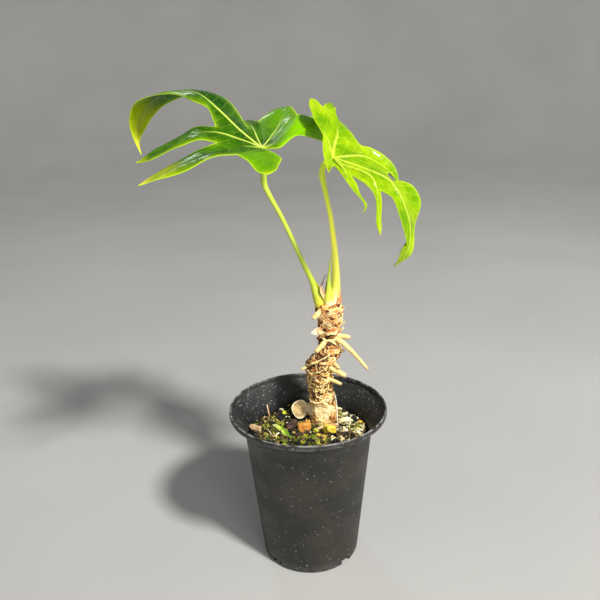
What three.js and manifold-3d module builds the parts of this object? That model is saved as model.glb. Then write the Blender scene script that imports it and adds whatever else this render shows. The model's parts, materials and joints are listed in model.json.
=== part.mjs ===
// Potted anthurium: a lobed-leaf anthurium on a short bare stem, in a deep flared plastic pot.
// Millimetres, +Z up. The origin is the centre of the pot's flat underside.
import * as THREE from 'three';
import { mergeVertices } from 'three/addons/utils/BufferGeometryUtils.js';
import Module from 'manifold-3d';

const wasm = await Module();
wasm.setup();

// ---------------------------------------------------------------- driving dimensions
const GAP = 0.3; // clearance kept between neighbouring pieces

const POT = {
  height: 124.6,
  baseRadius: 37.9,
  baseCorner: 1.6, // rounding at the bottom edge
  bodyRadius: 48.5, // outer radius where the bell mouth begins
  bodyTop: 104,
  rimRadius: 60,
  lipHeight: 4.2, // band round the mouth
  wall: 1.3,
  floor: 1.8,
  segments: 44,
  notches: 4, // drain notches at the bottom edge
  notchWidth: 9,
  notchHeight: 4.5,
  notchDepth: 8,
};

const SOIL = { top: 100, crown: 1, bottom: POT.floor + GAP, segments: 40 };

const BLADE = { thickness: 1.0, rowsPerStation: 2, columnsPerHalf: 2, camber: 0.07 };

const STEM_SIDES = 14;
const ROOT_SIDES = 8;
const PETIOLE_SIDES = 8;

// Centre line and radius of the bare stem, from its buried foot to the crown: [x, y, z, radius].
const STEM_STATIONS = [
  [13, 20, 64, 5], [13, 19, 74, 7.5], [14, 18, 88, 8.5], [14, 17, 101, 9], [13, 16.5, 107, 9.8],
  [12, 16, 117, 10.2], [11, 15.5, 126, 9], [11, 15, 133, 8.8], [10, 14.5, 143, 10], [10, 14, 151, 9.8],
  [13, 13.5, 158, 10.6], [17, 13, 164, 8.8], [18, 12.5, 173, 7], [18.5, 12, 182, 7.8], [18, 11.5, 191, 9],
  [17.5, 11, 199, 9.4], [17.5, 11, 203, 8.2],
];

// Centre lines of the two leaf stalks: [x, y, z, radius], from the crown up to the blade.
const LEFT_PETIOLE = [
  [10, 11, 204.3, 3.6], [8.5, 10.6, 210, 2.9], [5, 10, 221, 2.2], [-2, 9, 237, 1.9], [-9, 8, 254, 1.8],
  [-16, 7, 270, 1.8], [-23, 6, 284, 1.9], [-26.5, 6, 292, 2.1], [-27, 6, 300, 2.2], [-27, 6, 308, 2.1],
  [-27.3, 5.6, 314.2, 1.7],
];
const RIGHT_PETIOLE = [
  [21, 11, 204.3, 4.4], [22.3, 11, 211, 4.1], [22.6, 11, 223, 3.2], [22.3, 11, 234, 2.7],
  [21.7, 11, 246, 2.3], [20.6, 11, 257, 2], [19.3, 11, 268, 1.8], [16.9, 11, 280, 1.8],
  [14.9, 11, 290, 1.9], [13.7, 11.2, 296, 2.1],
  [13.9, 11.2, 301, 2.2], [16, 10, 305.6, 2], [19, 7.8, 307.6, 1.6],
];

// Side roots above the soil: [x, y, z, radius] from inside the stem outwards.
const AERIAL_ROOTS = {
  long_aerial_root: [
    [19, 9, 178, 2.2], [24, 7.5, 175, 2.2], [31, 5, 169.5, 2], [37, 3, 163.4, 1.6], [45.5, 2, 153, 0.9],
  ],
  aerial_root_upper_right: [[19, 12, 177, 1.9], [26, 12, 176.2, 1.9], [33, 11.5, 174.9, 1.6]],
  aerial_root_mid_right: [[12, 11, 155, 2.1], [20, 7, 151, 2.1], [29, 5, 146.2, 1.9]],
  aerial_root_low_right: [[14, 11, 143, 1.6], [20, 8, 141, 1.5], [25.7, 6, 139, 1.2]],
  aerial_root_small_right: [[15, 10, 160, 1.3], [21, 6, 156, 1.2], [24.5, 4.5, 153, 1]],
  aerial_root_left: [[16, 10, 176, 1.9], [12, 5, 172, 1.9], [7, 2, 168, 1.7]],
  aerial_root_crown_left: [[14, 9, 201.5, 1.9], [9, 3.5, 197.5, 1.9], [5.5, 2, 194.5, 1.6]],
  aerial_root_side_left: [[8, 13, 152, 1.2], [0, 12, 150.8, 1.1], [-4.1, 11, 150, 0.8]],
  aerial_root_short_right: [[18, 12, 166, 1.4], [24.5, 10, 165.3, 1.3], [28.3, 9, 164.9, 1]],
  aerial_root_back_high: [[17, 14, 187, 1.8], [15, 22, 184, 1.7], [11, 29, 178, 1.3]],
  aerial_root_back_mid: [[11, 17, 148, 2], [12, 26, 143, 1.9], [17, 34, 135, 1.4]],
  aerial_root_back_low: [[12, 18, 122, 2], [7, 27, 117, 1.8], [3, 33, 111, 1.3]],
};

// Roots inside the soil, hidden from view, spreading from the stem's foot.
const BURIED_ROOTS = {
  buried_root_front: [[13, 16, 80, 1.9], [10, 2, 68, 1.7], [2, -14, 46, 1.4], [-4, -22, 24, 1]],
  buried_root_left: [[10, 19, 86, 1.9], [-6, 20, 76, 1.7], [-22, 14, 56, 1.4], [-26, 6, 34, 1]],
  buried_root_right: [[16, 18, 84, 1.9], [30, 14, 72, 1.6], [34, 2, 48, 1.3], [28, -8, 26, 1]],
  buried_root_back: [[13, 22, 78, 1.9], [10, 34, 62, 1.6], [-4, 34, 40, 1.3], [-8, 26, 18, 1]],
};

// Papery leaf-base scraps that wrap part of the stem:
// name: [height, turn of the middle in degrees, width in degrees, tallness, flare at the top edge]
const DRY_SHEATHS = {
  dry_sheath_crown_front: [190, -95, 120, 10, 1.6],
  dry_sheath_crown_right: [193, 0, 50, 8, 2],
  dry_sheath_crown_back: [188, 95, 130, 12, 1.8],
  dry_sheath_upper_left: [178, 190, 80, 7, 3],
  dry_sheath_neck_front: [164, -80, 90, 5.5, 1.5],
  dry_sheath_neck_back: [166, 80, 110, 8, 1.6],
  dry_sheath_middle_left: [143, 205, 80, 9, 1.6],
  dry_sheath_lower_front: [127, -100, 110, 8, 1.2],
  dry_sheath_lower_back: [121, 60, 100, 9, 1.4],
};

// Loose pieces lying on the soil: [x, y, length, width, height, turn in degrees, shape]
const TOP_PIECES = {
  cork_scrap_left: [-38.5, 7.5, 11, 4.8, 4.2, 125, 'chip'],
  dark_bark_chip_left: [-12.5, 8, 6.5, 4.6, 4, 20, 'chip'],
  orange_bark_chip: [-2.5, 3.5, 9.5, 6.5, 5, 15, 'chip'],
  dark_bark_chip_front: [-7, -5.5, 7, 4.5, 2.6, 30, 'chip'],
  dark_bark_chip_right: [25, -7, 8, 5, 3, -20, 'chip'],
  yellow_pumice: [17, -4, 9.5, 7, 5.5, 10, 'stone'],
  olive_stone: [5.5, -15, 7, 5, 3.4, 0, 'stone'],
  amber_pebble: [7, -7.5, 4.6, 3.8, 3.2, 0, 'stone'],
  orange_pebble: [41, 11, 4.4, 4, 3.4, 0, 'stone'],
  perlite_front: [29, 3, 5.4, 4.4, 3.4, 30, 'stone'],
  perlite_middle: [34, 12, 4.6, 4, 3, 70, 'stone'],
  perlite_side: [36, -5, 6, 4, 3.2, 15, 'stone'],
  perlite_back: [30, 24, 5, 4.2, 3.4, 0, 'stone'],
  gravel_back_right: [26, 33, 5.4, 4.6, 3.6, 40, 'stone'],
  gravel_back: [10, 40, 5.2, 4, 3.2, 10, 'stone'],
  gravel_left: [-33, -4, 4.8, 3.8, 3, 0, 'stone'],
  gravel_back_left: [-22, 34, 5, 4.2, 3.2, 55, 'stone'],
};

// Leaf blades. Every lobe has a vein that starts at the hub, where the stalk joins, and ends at the
// lobe's tip. Its two edges run along the web shared with the neighbouring lobe as far as the notch,
// then on their own to the tip. before and after are the free edge points; lobes go round the hub.
const LEFT_LEAF = {
  hub: [-27, 5, 317],
  webs: [
    [[-34, -6, 317], [-42, -22, 316]],
    [[-39, -2, 321], [-56, -12, 323]],
    [[-42, 6, 325], [-58, 8, 332]],
    [[-34, 14, 323], [-38, 30, 330]],
    [[-27, 19, 322], [-31, 46, 333]],
    [[-17, 18, 323], [-2, 46, 337]],
  ],
  lobes: [
    {
      name: 'near_base',
      vein: [[-25, -4, 316], [-24, -12, 313], [-23, -20, 310], [-22, -27, 307], [-22, -32, 304]],
      before: [[-22, -3, 316], [-14, -10, 312], [-15, -18, 309], [-17, -26, 306]],
      after: [[-35, -26, 312], [-29, -31, 306]],
    },
    {
      name: 'near_low',
      vein: [
        [-38, -4, 319], [-50, -14, 319], [-62, -24, 317],
        [-74, -34, 313], [-88, -44, 307], [-100, -54, 302],
      ],
      before: [[-56, -34, 316], [-72, -45, 309], [-88, -52, 305]],
      after: [[-67, -15, 319], [-80, -25, 313], [-92, -38, 307]],
    },
    {
      name: 'near_mid',
      vein: [
        [-41, 2, 323], [-54, -1, 328], [-66, -4, 329],
        [-79, -7, 326], [-95, -10, 317], [-110, -12, 311],
      ],
      before: [[-67, -14, 325], [-80, -18, 321], [-97, -18, 314]],
      after: [[-71, 7, 332], [-86, 4, 324], [-102, -2, 317]],
    },
    {
      name: 'terminal',
      vein: [
        [-42, 10, 329], [-57, 18, 343], [-71, 27, 353], [-85, 36, 355], [-100, 45, 354],
        [-115, 53, 344], [-123, 58, 331], [-124, 60, 319], [-122, 60, 309],
      ],
      before: [
        [-63, 12, 344], [-76, 20, 349], [-94, 33, 354],
        [-118, 45, 349], [-127, 53, 336], [-126, 57, 322],
      ],
      after: [
        [-51, 42, 347], [-69, 52, 354], [-91, 62, 350],
        [-109, 68, 341], [-118, 67, 329], [-123, 63, 320],
      ],
    },
    {
      name: 'far_low',
      vein: [[-31, 17, 323], [-35, 34, 330], [-41, 50, 333], [-48, 66, 329], [-54, 78, 321]],
      before: [[-45, 47, 332], [-52, 62, 327]],
      after: [[-37, 60, 332], [-46, 76, 325]],
    },
    {
      name: 'far_mid',
      vein: [[-22, 18, 322], [-15, 40, 331], [-13, 60, 341], [-14, 78, 338], [-16, 90, 326]],
      before: [[-24, 60, 338], [-23, 77, 336]],
      after: [[-7, 64, 342], [-7, 81, 335]],
    },
    {
      name: 'far_base',
      vein: [[-17, 9, 320], [-6, 20, 325], [5, 33, 329], [14, 45, 329], [21, 54, 324], [26, 60, 316]],
      before: [[8, 52, 335], [15, 60, 333], [23, 64, 326]],
      after: [[-17, 3, 317], [-13, 7, 318], [-3, 19, 324], [9, 37, 320], [19, 50, 316]],
    },
  ],
};
const RIGHT_LEAF = {
  hub: [21, 6, 309],
  webs: [
    [[21, -3, 308], [21, -10, 306]],
    [[26, -8, 305], [32, -16, 300]],
    [[32, -4, 304], [42, -11, 300], [51, -19, 290]],
    [[34, 3, 307], [46, 5, 303], [58, 4, 298]],
    [[26, 12, 315], [32, 22, 319], [36, 33, 324]],
    [[20, 11, 316], [19, 20, 325], [19, 30, 335], [16, 38, 342]],
  ],
  lobes: [
    {
      name: 'near_base',
      vein: [[19, -3, 309], [18, -9, 307], [17, -14, 306], [17, -18, 304], [17, -21, 303]],
      before: [[18, 1, 314], [15, 0, 320], [14, -8, 315], [15, -15, 309]],
      after: [[19, -18, 306], [18, -21, 305]],
    },
    {
      name: 'near_low',
      vein: [[23, -6, 308], [27, -15, 304], [30, -25, 298], [34, -34, 292], [39, -40, 286], [37, -42, 280]],
      before: [[26, -30, 301], [31, -39, 294], [38, -43, 286]],
      after: [[35, -23, 295], [37, -31, 290], [40, -37, 284]],
    },
    {
      name: 'near_mid',
      vein: [
        [29, -6, 305], [38, -14, 303], [45, -20, 299], [48, -24, 291],
        [48, -26, 282], [49, -27, 273], [50, -28, 262],
      ],
      before: [[40, -27, 296], [45, -32, 290], [47, -33, 282], [47, -31, 271]],
      after: [[52, -21, 281], [51, -23, 272], [51, -26, 266]],
    },
    {
      name: 'terminal',
      vein: [
        [32, 0, 306], [44, -5, 302], [55, -10, 297], [62, -15, 289], [67, -19, 278],
        [70, -21, 267], [71, -21, 256], [68, -19, 245], [61, -15, 237],
      ],
      before: [[58, -24, 286], [62, -29, 276], [65, -31, 265], [67, -28, 253], [64, -21, 243]],
      after: [[68, 6, 292], [78, 8, 287], [82, 4, 277], [77, -4, 263], [74, -11, 245]],
    },
    {
      name: 'far_low',
      vein: [
        [29, 6, 310], [37, 9, 310], [43, 12, 309], [50, 15, 306],
        [56, 17, 302], [61, 19, 298], [66, 20, 293], [70, 20, 285],
      ],
      before: [[59, 6, 297], [62, 10, 295], [64, 14, 293], [68, 18, 289]],
      after: [[42, 27, 316], [49, 25, 314], [59, 24, 308], [67, 23, 299]],
    },
    {
      name: 'far_mid',
      vein: [
        [22, 12, 316], [25, 22, 323], [26, 31, 330], [25, 40, 338],
        [23, 50, 344], [23, 61, 343], [24, 71, 336],
      ],
      before: [[32, 42, 328], [26, 48, 333], [28, 56, 340]],
      after: [[18, 45, 344], [20, 58, 343]],
    },
    {
      name: 'far_base',
      vein: [[19, 10, 316], [17, 16, 323], [14, 22, 331], [11, 29, 339], [9, 34, 345], [7, 37, 348]],
      before: [[11, 42, 347]],
      after: [[19, 5, 313], [17, 10, 319], [13, 14, 328], [9, 20, 335], [6, 28, 344]],
    },
  ],
};

// ---------------------------------------------------------------- small tools
const vector = ([x, y, z]) => new THREE.Vector3(x, y, z);

/** Repeatable random numbers from 0 to 1. */
function randomSource(seed) {
  let state = seed;
  return () => {
    state = (state * 16807) % 2147483647;
    return state / 2147483647;
  };
}

/** Even Catmull-Rom samples through a list of points, the given points among them. */
function smoothPoints(points, perSpan) {
  const curve = new THREE.CatmullRomCurve3(points.map(vector), false, 'catmullrom', 0.5);
  return curve.getPoints((points.length - 1) * perSpan);
}

/** A geometry from a vertex list and a triangle list. */
function meshGeometry(points, triangles) {
  const geometry = new THREE.BufferGeometry();
  const coordinates = points.flatMap((point) => [point.x, point.y, point.z]);
  geometry.setAttribute('position', new THREE.Float32BufferAttribute(coordinates, 3));
  geometry.setIndex(triangles.flat());
  return geometry;
}

/** The same geometry with only its positions, and shared vertices merged. */
function welded(geometry) {
  const copy = geometry.clone();
  copy.deleteAttribute('normal');
  copy.deleteAttribute('uv');
  return mergeVertices(copy, 1e-4);
}

function toSolid(geometry) {
  const merged = welded(geometry);
  const vertProperties = new Float32Array(merged.attributes.position.array);
  const triVerts = new Uint32Array(merged.index.array);
  return new wasm.Manifold(new wasm.Mesh({ numProp: 3, vertProperties, triVerts }));
}

function fromSolid(solid) {
  const mesh = solid.getMesh();
  const geometry = new THREE.BufferGeometry();
  geometry.setAttribute('position', new THREE.BufferAttribute(new Float32Array(mesh.vertProperties), 3));
  geometry.setIndex(new THREE.BufferAttribute(new Uint32Array(mesh.triVerts), 1));
  return geometry;
}

/** One geometry with others cut away from it. */
function cutBy(geometry, cutters) {
  let solid = toSolid(geometry);
  for (const cutter of cutters) {
    solid = solid.subtract(toSolid(cutter));
  }
  return fromSolid(solid);
}

/** A closed solid through rings of equal size, with a point-fan cap at each end. */
function ringSolid(rings) {
  const sides = rings[0].length;
  const points = rings.flat();
  const triangles = [];
  for (let row = 0; row + 1 < rings.length; row += 1) {
    for (let side = 0; side < sides; side += 1) {
      const next = (side + 1) % sides;
      const a = row * sides + side;
      const b = row * sides + next;
      triangles.push([a, b, b + sides], [a, b + sides, a + sides]);
    }
  }
  const last = (rings.length - 1) * sides;
  for (const [start, flip] of [[0, true], [last, false]]) {
    const centre = new THREE.Vector3();
    for (let side = 0; side < sides; side += 1) {
      centre.addScaledVector(points[start + side], 1 / sides);
    }
    points.push(centre);
    const hub = points.length - 1;
    for (let side = 0; side < sides; side += 1) {
      const a = start + side;
      const b = start + ((side + 1) % sides);
      triangles.push(flip ? [b, a, hub] : [a, b, hub]);
    }
  }
  return meshGeometry(points, triangles);
}

/** A round rod along [x, y, z, radius] stations, made thicker all round by grow. */
function rod(stations, sides, grow = 0, perSpan = 2) {
  const centres = smoothPoints(stations, perSpan);
  const radii = smoothPoints(stations.map((station) => [station[3], 0, 0]), perSpan);
  const rings = [];
  let across = new THREE.Vector3(1, 0.2, 0);
  centres.forEach((centre, index) => {
    const before = centres[Math.max(index - 1, 0)];
    const after = centres[Math.min(index + 1, centres.length - 1)];
    const along = after.clone().sub(before).normalize();
    across = across.clone().addScaledVector(along, -across.dot(along)).normalize();
    const third = along.clone().cross(across);
    const radius = radii[index].x + grow;
    const ring = [];
    for (let side = 0; side < sides; side += 1) {
      const turn = (side / sides) * 2 * Math.PI;
      const point = centre.clone().addScaledVector(across, radius * Math.cos(turn));
      ring.push(point.addScaledVector(third, radius * Math.sin(turn)));
    }
    rings.push(ring);
  });
  return ringSolid(rings);
}

/** A thin closed solid from a sheet of triangles, half the thickness to each side of it. */
function sheetSolid(points, triangles, thickness) {
  const sheet = meshGeometry(points, triangles);
  sheet.computeVertexNormals();
  const normals = sheet.attributes.normal;
  const count = points.length;
  const shells = [0.5, -0.5].flatMap((side) =>
    points.map((point, index) => {
      const normal = new THREE.Vector3().fromBufferAttribute(normals, index);
      return point.clone().addScaledVector(normal, side * thickness);
    }),
  );
  const faces = [];
  const edges = new Map();
  for (const [a, b, c] of triangles) {
    faces.push([a, b, c], [c + count, b + count, a + count]);
    for (const [from, to] of [[a, b], [b, c], [c, a]]) {
      if (!edges.delete(`${to},${from}`)) {
        edges.set(`${from},${to}`, [from, to]);
      }
    }
  }
  for (const [from, to] of edges.values()) {
    faces.push([to, from, from + count], [to, from + count, to + count]);
  }
  return meshGeometry(shells, faces);
}

/** A sheet's vertices without doubles, and its triangles without empty ones. */
class SheetBuilder {
  constructor() {
    this.points = [];
    this.triangles = [];
    this.known = new Map();
  }

  vertex(point) {
    const key = point.toArray().map((value) => value.toFixed(4)).join();
    if (!this.known.has(key)) {
      this.known.set(key, this.points.length);
      this.points.push(point);
    }
    return this.known.get(key);
  }

  /** Rows of points of equal length, joined row to row. */
  addGrid(rows) {
    const ids = rows.map((row) => row.map((point) => this.vertex(point)));
    for (let row = 0; row + 1 < ids.length; row += 1) {
      for (let column = 0; column + 1 < ids[row].length; column += 1) {
        const a = ids[row][column];
        const b = ids[row][column + 1];
        const c = ids[row + 1][column + 1];
        const d = ids[row + 1][column];
        this.addTriangle(a, b, c);
        this.addTriangle(a, c, d);
      }
    }
  }

  addTriangle(a, b, c) {
    if (a !== b && b !== c && c !== a) {
      this.triangles.push([a, b, c]);
    }
  }
}

// ---------------------------------------------------------------- leaf blades
/** One edge of a lobe: along the web to the notch beside the lobe, then on to the tip. */
function lobeEdge(hub, web, free, tip, perSpan) {
  const webPart = web.length ? smoothPoints([hub, ...web], perSpan) : [vector(hub)];
  const start = web.length ? web[web.length - 1] : hub;
  const freePart = smoothPoints([start, ...free, tip], perSpan);
  return [...webPart, ...freePart.slice(1)];
}

/** Rows of points over a lobe, each row from one edge over the vein to the other edge. */
function lobeRows(hub, lobe, webBefore, webAfter) {
  const perSpan = BLADE.rowsPerStation;
  const tip = lobe.vein[lobe.vein.length - 1];
  const vein = smoothPoints([hub, ...lobe.vein], perSpan);
  const before = lobeEdge(hub, webBefore, lobe.before, tip, perSpan);
  const after = lobeEdge(hub, webAfter, lobe.after, tip, perSpan);
  return vein.map((middle, index) => {
    const ahead = vein[Math.min(index + 1, vein.length - 1)];
    const behind = vein[Math.max(index - 1, 0)];
    const along = ahead.clone().sub(behind);
    const up = after[index].clone().sub(before[index]).cross(along).normalize();
    const row = [];
    for (const [edge, from, to] of [[before[index], 0, 1], [after[index], 1, 0]]) {
      for (let column = 0; column <= BLADE.columnsPerHalf; column += 1) {
        const share = from + ((to - from) * column) / BLADE.columnsPerHalf;
        const rise = BLADE.camber * edge.distanceTo(middle) * Math.sin(Math.PI * share);
        row.push(edge.clone().lerp(middle, share).addScaledVector(up, rise));
      }
    }
    row.splice(BLADE.columnsPerHalf + 1, 1);
    return row;
  });
}

/** A whole lobed blade as one thin solid. */
function leafBlade(leaf, thickness = BLADE.thickness) {
  const sheet = new SheetBuilder();
  leaf.lobes.forEach((lobe, index) => {
    const webBefore = leaf.webs[index - 1] ?? [];
    const webAfter = leaf.webs[index] ?? [];
    sheet.addGrid(lobeRows(leaf.hub, lobe, webBefore, webAfter));
  });
  return sheetSolid(sheet.points, sheet.triangles, thickness);
}

// ---------------------------------------------------------------- pot and soil
/** Outline of the bell mouth, from the top of the straight body to the underside of the lip. */
function bellPoints(inset) {
  const from = new THREE.Vector2(POT.bodyRadius - inset, POT.bodyTop);
  const through = new THREE.Vector2(POT.bodyRadius + 1.8 - inset, POT.bodyTop + 9.5);
  const to = new THREE.Vector2(POT.rimRadius - 0.8 - inset, POT.height - POT.lipHeight);
  return new THREE.QuadraticBezierCurve(from, through, to).getPoints(5);
}

function potGeometry() {
  const { wall, floor, height, rimRadius, baseRadius, baseCorner, lipHeight } = POT;
  const profile = [
    new THREE.Vector2(0, 0),
    new THREE.Vector2(baseRadius - baseCorner, 0),
    new THREE.Vector2(baseRadius - 0.3 * baseCorner, 0.3 * baseCorner),
    new THREE.Vector2(baseRadius, baseCorner),
    ...bellPoints(0),
    new THREE.Vector2(rimRadius, height - lipHeight + 0.4),
    new THREE.Vector2(rimRadius, height - 0.7),
    new THREE.Vector2(rimRadius - 0.7, height),
    new THREE.Vector2(rimRadius - wall, height),
    new THREE.Vector2(rimRadius - wall - 0.6, height - 0.8),
    ...bellPoints(wall).reverse(),
    new THREE.Vector2(baseRadius - wall, floor),
    new THREE.Vector2(0, floor),
  ];
  const shell = new THREE.LatheGeometry(profile, POT.segments);
  const notches = [];
  for (let notch = 0; notch < POT.notches; notch += 1) {
    const cutter = new THREE.BoxGeometry(POT.notchDepth, POT.notchWidth, 2 * POT.notchHeight);
    cutter.translate(baseRadius, 0, 0);
    cutter.rotateZ(((notch + 0.5) / POT.notches) * 2 * Math.PI);
    notches.push(cutter);
  }
  return cutBy(shell.rotateX(Math.PI / 2), notches);
}

/** Radius of the pot's inner wall at a height on the straight body. */
function innerRadius(height) {
  const share = (height - POT.floor) / (POT.bodyTop - POT.floor);
  return THREE.MathUtils.lerp(POT.baseRadius, POT.bodyRadius, share) - POT.wall;
}

function soilGeometry(buried) {
  const profile = [
    new THREE.Vector2(0, SOIL.bottom),
    new THREE.Vector2(innerRadius(SOIL.bottom) - 2 * GAP, SOIL.bottom),
    new THREE.Vector2(innerRadius(SOIL.top) - 2 * GAP, SOIL.top),
    new THREE.Vector2(0.5 * innerRadius(SOIL.top), SOIL.top + 0.8 * SOIL.crown),
    new THREE.Vector2(0, SOIL.top + SOIL.crown),
  ];
  const mass = new THREE.LatheGeometry(profile, SOIL.segments);
  return cutBy(mass.rotateX(Math.PI / 2), buried);
}

// ---------------------------------------------------------------- stem and what grows on it
/** Level rings of the stem, made thicker all round by grow. */
function stemGeometry(grow = 0) {
  const rings = [];
  const centres = smoothPoints(STEM_STATIONS, 1);
  const radii = smoothPoints(STEM_STATIONS.map((station) => [station[3], 0, 0]), 1);
  centres.forEach((centre, index) => {
    const ring = [];
    for (let side = 0; side < STEM_SIDES; side += 1) {
      const turn = (side / STEM_SIDES) * 2 * Math.PI;
      const radius = radii[index].x + grow;
      ring.push(new THREE.Vector3(radius * Math.cos(turn), radius * Math.sin(turn), 0).add(centre));
    }
    rings.push(ring);
  });
  rings[0].forEach((point) => { point.z -= grow; });
  rings[rings.length - 1].forEach((point) => { point.z += grow; });
  return ringSolid(rings);
}

/** Centre and radius of the stem at a height. */
function stemAt(height) {
  const upper = STEM_STATIONS.findIndex((station) => station[2] >= height);
  const [x0, y0, z0, r0] = STEM_STATIONS[upper - 1];
  const [x1, y1, z1, r1] = STEM_STATIONS[upper];
  const share = (height - z0) / (z1 - z0);
  const mix = THREE.MathUtils.lerp;
  return { x: mix(x0, x1, share), y: mix(y0, y1, share), radius: mix(r0, r1, share) };
}

/** A papery scrap wrapped part of the way round the stem. */
function drySheath([height, middle, width, tall, flare], thickness) {
  const clearance = 1.3;
  const rows = [];
  const rowCount = 3;
  const columnCount = Math.round(width / 18);
  for (let row = 0; row <= rowCount; row += 1) {
    const rise = row / rowCount;
    const points = [];
    for (let column = 0; column <= columnCount; column += 1) {
      const share = column / columnCount - 0.5;
      const z = height + tall * rise * (1 - 1.6 * share * share);
      const { x, y, radius } = stemAt(z);
      const reach = radius + clearance + flare * rise * rise;
      const turn = THREE.MathUtils.degToRad(middle + width * share);
      points.push(new THREE.Vector3(x + reach * Math.cos(turn), y + reach * Math.sin(turn), z));
    }
    rows.push(points);
  }
  const sheet = new SheetBuilder();
  sheet.addGrid(rows);
  return sheetSolid(sheet.points, sheet.triangles, thickness);
}

/** A flat ribbon along [x, y, z, half width] stations, lying across a given direction. */
function ribbon(stations, across, thickness) {
  const centres = smoothPoints(stations, 2);
  const widths = smoothPoints(stations.map((station) => [station[3], 0, 0]), 2);
  const side = vector(across).normalize();
  const rows = centres.map((centre, index) => {
    const reach = widths[index].x;
    return [-1, 1].map((sign) => centre.clone().addScaledVector(side, sign * reach));
  });
  const sheet = new SheetBuilder();
  sheet.addGrid(rows);
  return sheetSolid(sheet.points, sheet.triangles, thickness);
}

// ---------------------------------------------------------------- loose pieces on the soil
/** A rounded stone or a broken chip, resting just clear of the soil. */
function topPiece([x, y, length, width, height, turn, shape], seed) {
  const random = randomSource(seed);
  const isStone = shape === 'stone';
  const base = isStone ? new THREE.IcosahedronGeometry(0.5, 1) : new THREE.BoxGeometry(1, 1, 1, 2, 2, 1);
  const geometry = welded(base);
  const position = geometry.attributes.position;
  const roughness = isStone ? 0.16 : 0.22;
  for (let index = 0; index < position.count; index += 1) {
    const grow = 1 - roughness * random();
    position.setXYZ(
      index,
      position.getX(index) * length * grow,
      position.getY(index) * width * (1 - roughness * random()),
      position.getZ(index) * height * grow,
    );
  }
  geometry.rotateZ(THREE.MathUtils.degToRad(turn));
  geometry.computeBoundingBox();
  geometry.translate(x, y, SOIL.top + SOIL.crown + GAP - geometry.boundingBox.min.z);
  return geometry;
}

// ---------------------------------------------------------------- materials
const finish = (color, roughness) => new THREE.MeshStandardMaterial({ color, roughness, metalness: 0 });
const MATERIALS = {
  pot: finish(0x2f3133, 0.5),
  soil: finish(0x2b2318, 0.95),
  stem: finish(0xa98155, 0.85),
  root: finish(0xd9bd7e, 0.75),
  sheath: finish(0x8c5a3c, 0.8),
  petiole: finish(0xb7d53a, 0.4),
  leftBlade: finish(0x4e9a12, 0.3),
  rightBlade: finish(0x9fd014, 0.35),
  bark: finish(0x5a4230, 0.9),
  stone: finish(0xcdb36a, 0.85),
  moss: finish(0x5f8f2a, 0.7),
};

// ---------------------------------------------------------------- assembly
const plant = new THREE.Group();

function addPiece(name, geometry, material) {
  const mesh = new THREE.Mesh(geometry, material.clone());
  mesh.name = name;
  plant.add(mesh);
}

const CUT_STUB = [[-6.5, 21, 110.5, 6.9], [-6, 26, 107.8, 6.8], [-5, 30.5, 102.5, 6.6], [-4, 32, 93, 6.2]];
const NEW_SHOOT = [[15.6, 7.4, 204.2, 2.3], [16.8, 7, 212, 1.9], [17.4, 6.6, 221, 1.4], [18, 6.8, 231, 0.9],
  [18.8, 7, 240, 0.35]];
const DRY_CATAPHYLL = [[13.6, 3.4, 204, 1.6], [12, 4.2, 211, 1.5], [11.8, 4.8, 217, 1.1], [13, 5, 221, 0.8],
  [15.4, 5, 225.5, 0.3]];
const BARK_STRIP = [[6, 5.6, 102.4, 1.2], [11, 2.8, 103.2, 1.4], [17, 3.2, 103, 1.4], [23, 6.4, 102.6, 1]];
const LIVERWORT = [
  [-27, 12, 102.2, 1.1], [-22, 5, 103.6, 1.9], [-18, -1, 103.4, 1.9], [-14, -7, 102.4, 0.8],
];
const PALE_TWIG = [[-31, 24, 101.8, 0.6], [-32, 27, 106, 0.55], [-33, 29, 111, 0.4]];

const fatStem = stemGeometry(GAP);
const fatStub = rod(CUT_STUB, 12, GAP);
const buriedRods = Object.values(BURIED_ROOTS).map((route) => rod(route, ROOT_SIDES, GAP));

addPiece('pot', potGeometry(), MATERIALS.pot);
addPiece('soil_mass', soilGeometry([fatStem, fatStub, ...buriedRods]), MATERIALS.soil);
addPiece('stem', stemGeometry(), MATERIALS.stem);
addPiece('cut_side_stub', rod(CUT_STUB, 12), MATERIALS.stem);

for (const [name, route] of Object.entries({ ...AERIAL_ROOTS, ...BURIED_ROOTS })) {
  addPiece(name, cutBy(rod(route, ROOT_SIDES), [fatStem]), MATERIALS.root);
}

const fatRoots = Object.values(AERIAL_ROOTS).map((route) => rod(route, ROOT_SIDES, GAP));
for (const [name, shape] of Object.entries(DRY_SHEATHS)) {
  addPiece(name, cutBy(drySheath(shape, 0.8), fatRoots), MATERIALS.sheath);
}

const LEAVES = [
  ['left', LEFT_LEAF, LEFT_PETIOLE, MATERIALS.leftBlade],
  ['right', RIGHT_LEAF, RIGHT_PETIOLE, MATERIALS.rightBlade],
];
for (const [side, leaf, route, material] of LEAVES) {
  const fatBlade = leafBlade(leaf, BLADE.thickness + 2 * GAP);
  addPiece(`${side}_petiole`, cutBy(rod(route, PETIOLE_SIDES, 0, 1), [fatBlade]), MATERIALS.petiole);
  addPiece(`${side}_leaf_blade`, leafBlade(leaf), material);
}
addPiece('new_shoot', rod(NEW_SHOOT, ROOT_SIDES), MATERIALS.petiole);
addPiece('dry_cataphyll', ribbon(DRY_CATAPHYLL, [1, 0.1, 0], 0.7), MATERIALS.sheath);

Object.entries(TOP_PIECES).forEach(([name, shape], index) => {
  const material = shape[6] === 'stone' ? MATERIALS.stone : MATERIALS.bark;
  addPiece(name, topPiece(shape, 1000 + 77 * index), material);
});
addPiece('bark_strip', ribbon(BARK_STRIP, [0.1, 0.5, 1], 0.7), MATERIALS.bark);
addPiece('liverwort_strap', ribbon(LIVERWORT, [0.8, 0.6, 0.2], 0.8), MATERIALS.moss);
addPiece('pale_twig', rod(PALE_TWIG, 6), MATERIALS.root);

export default plant;
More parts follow.
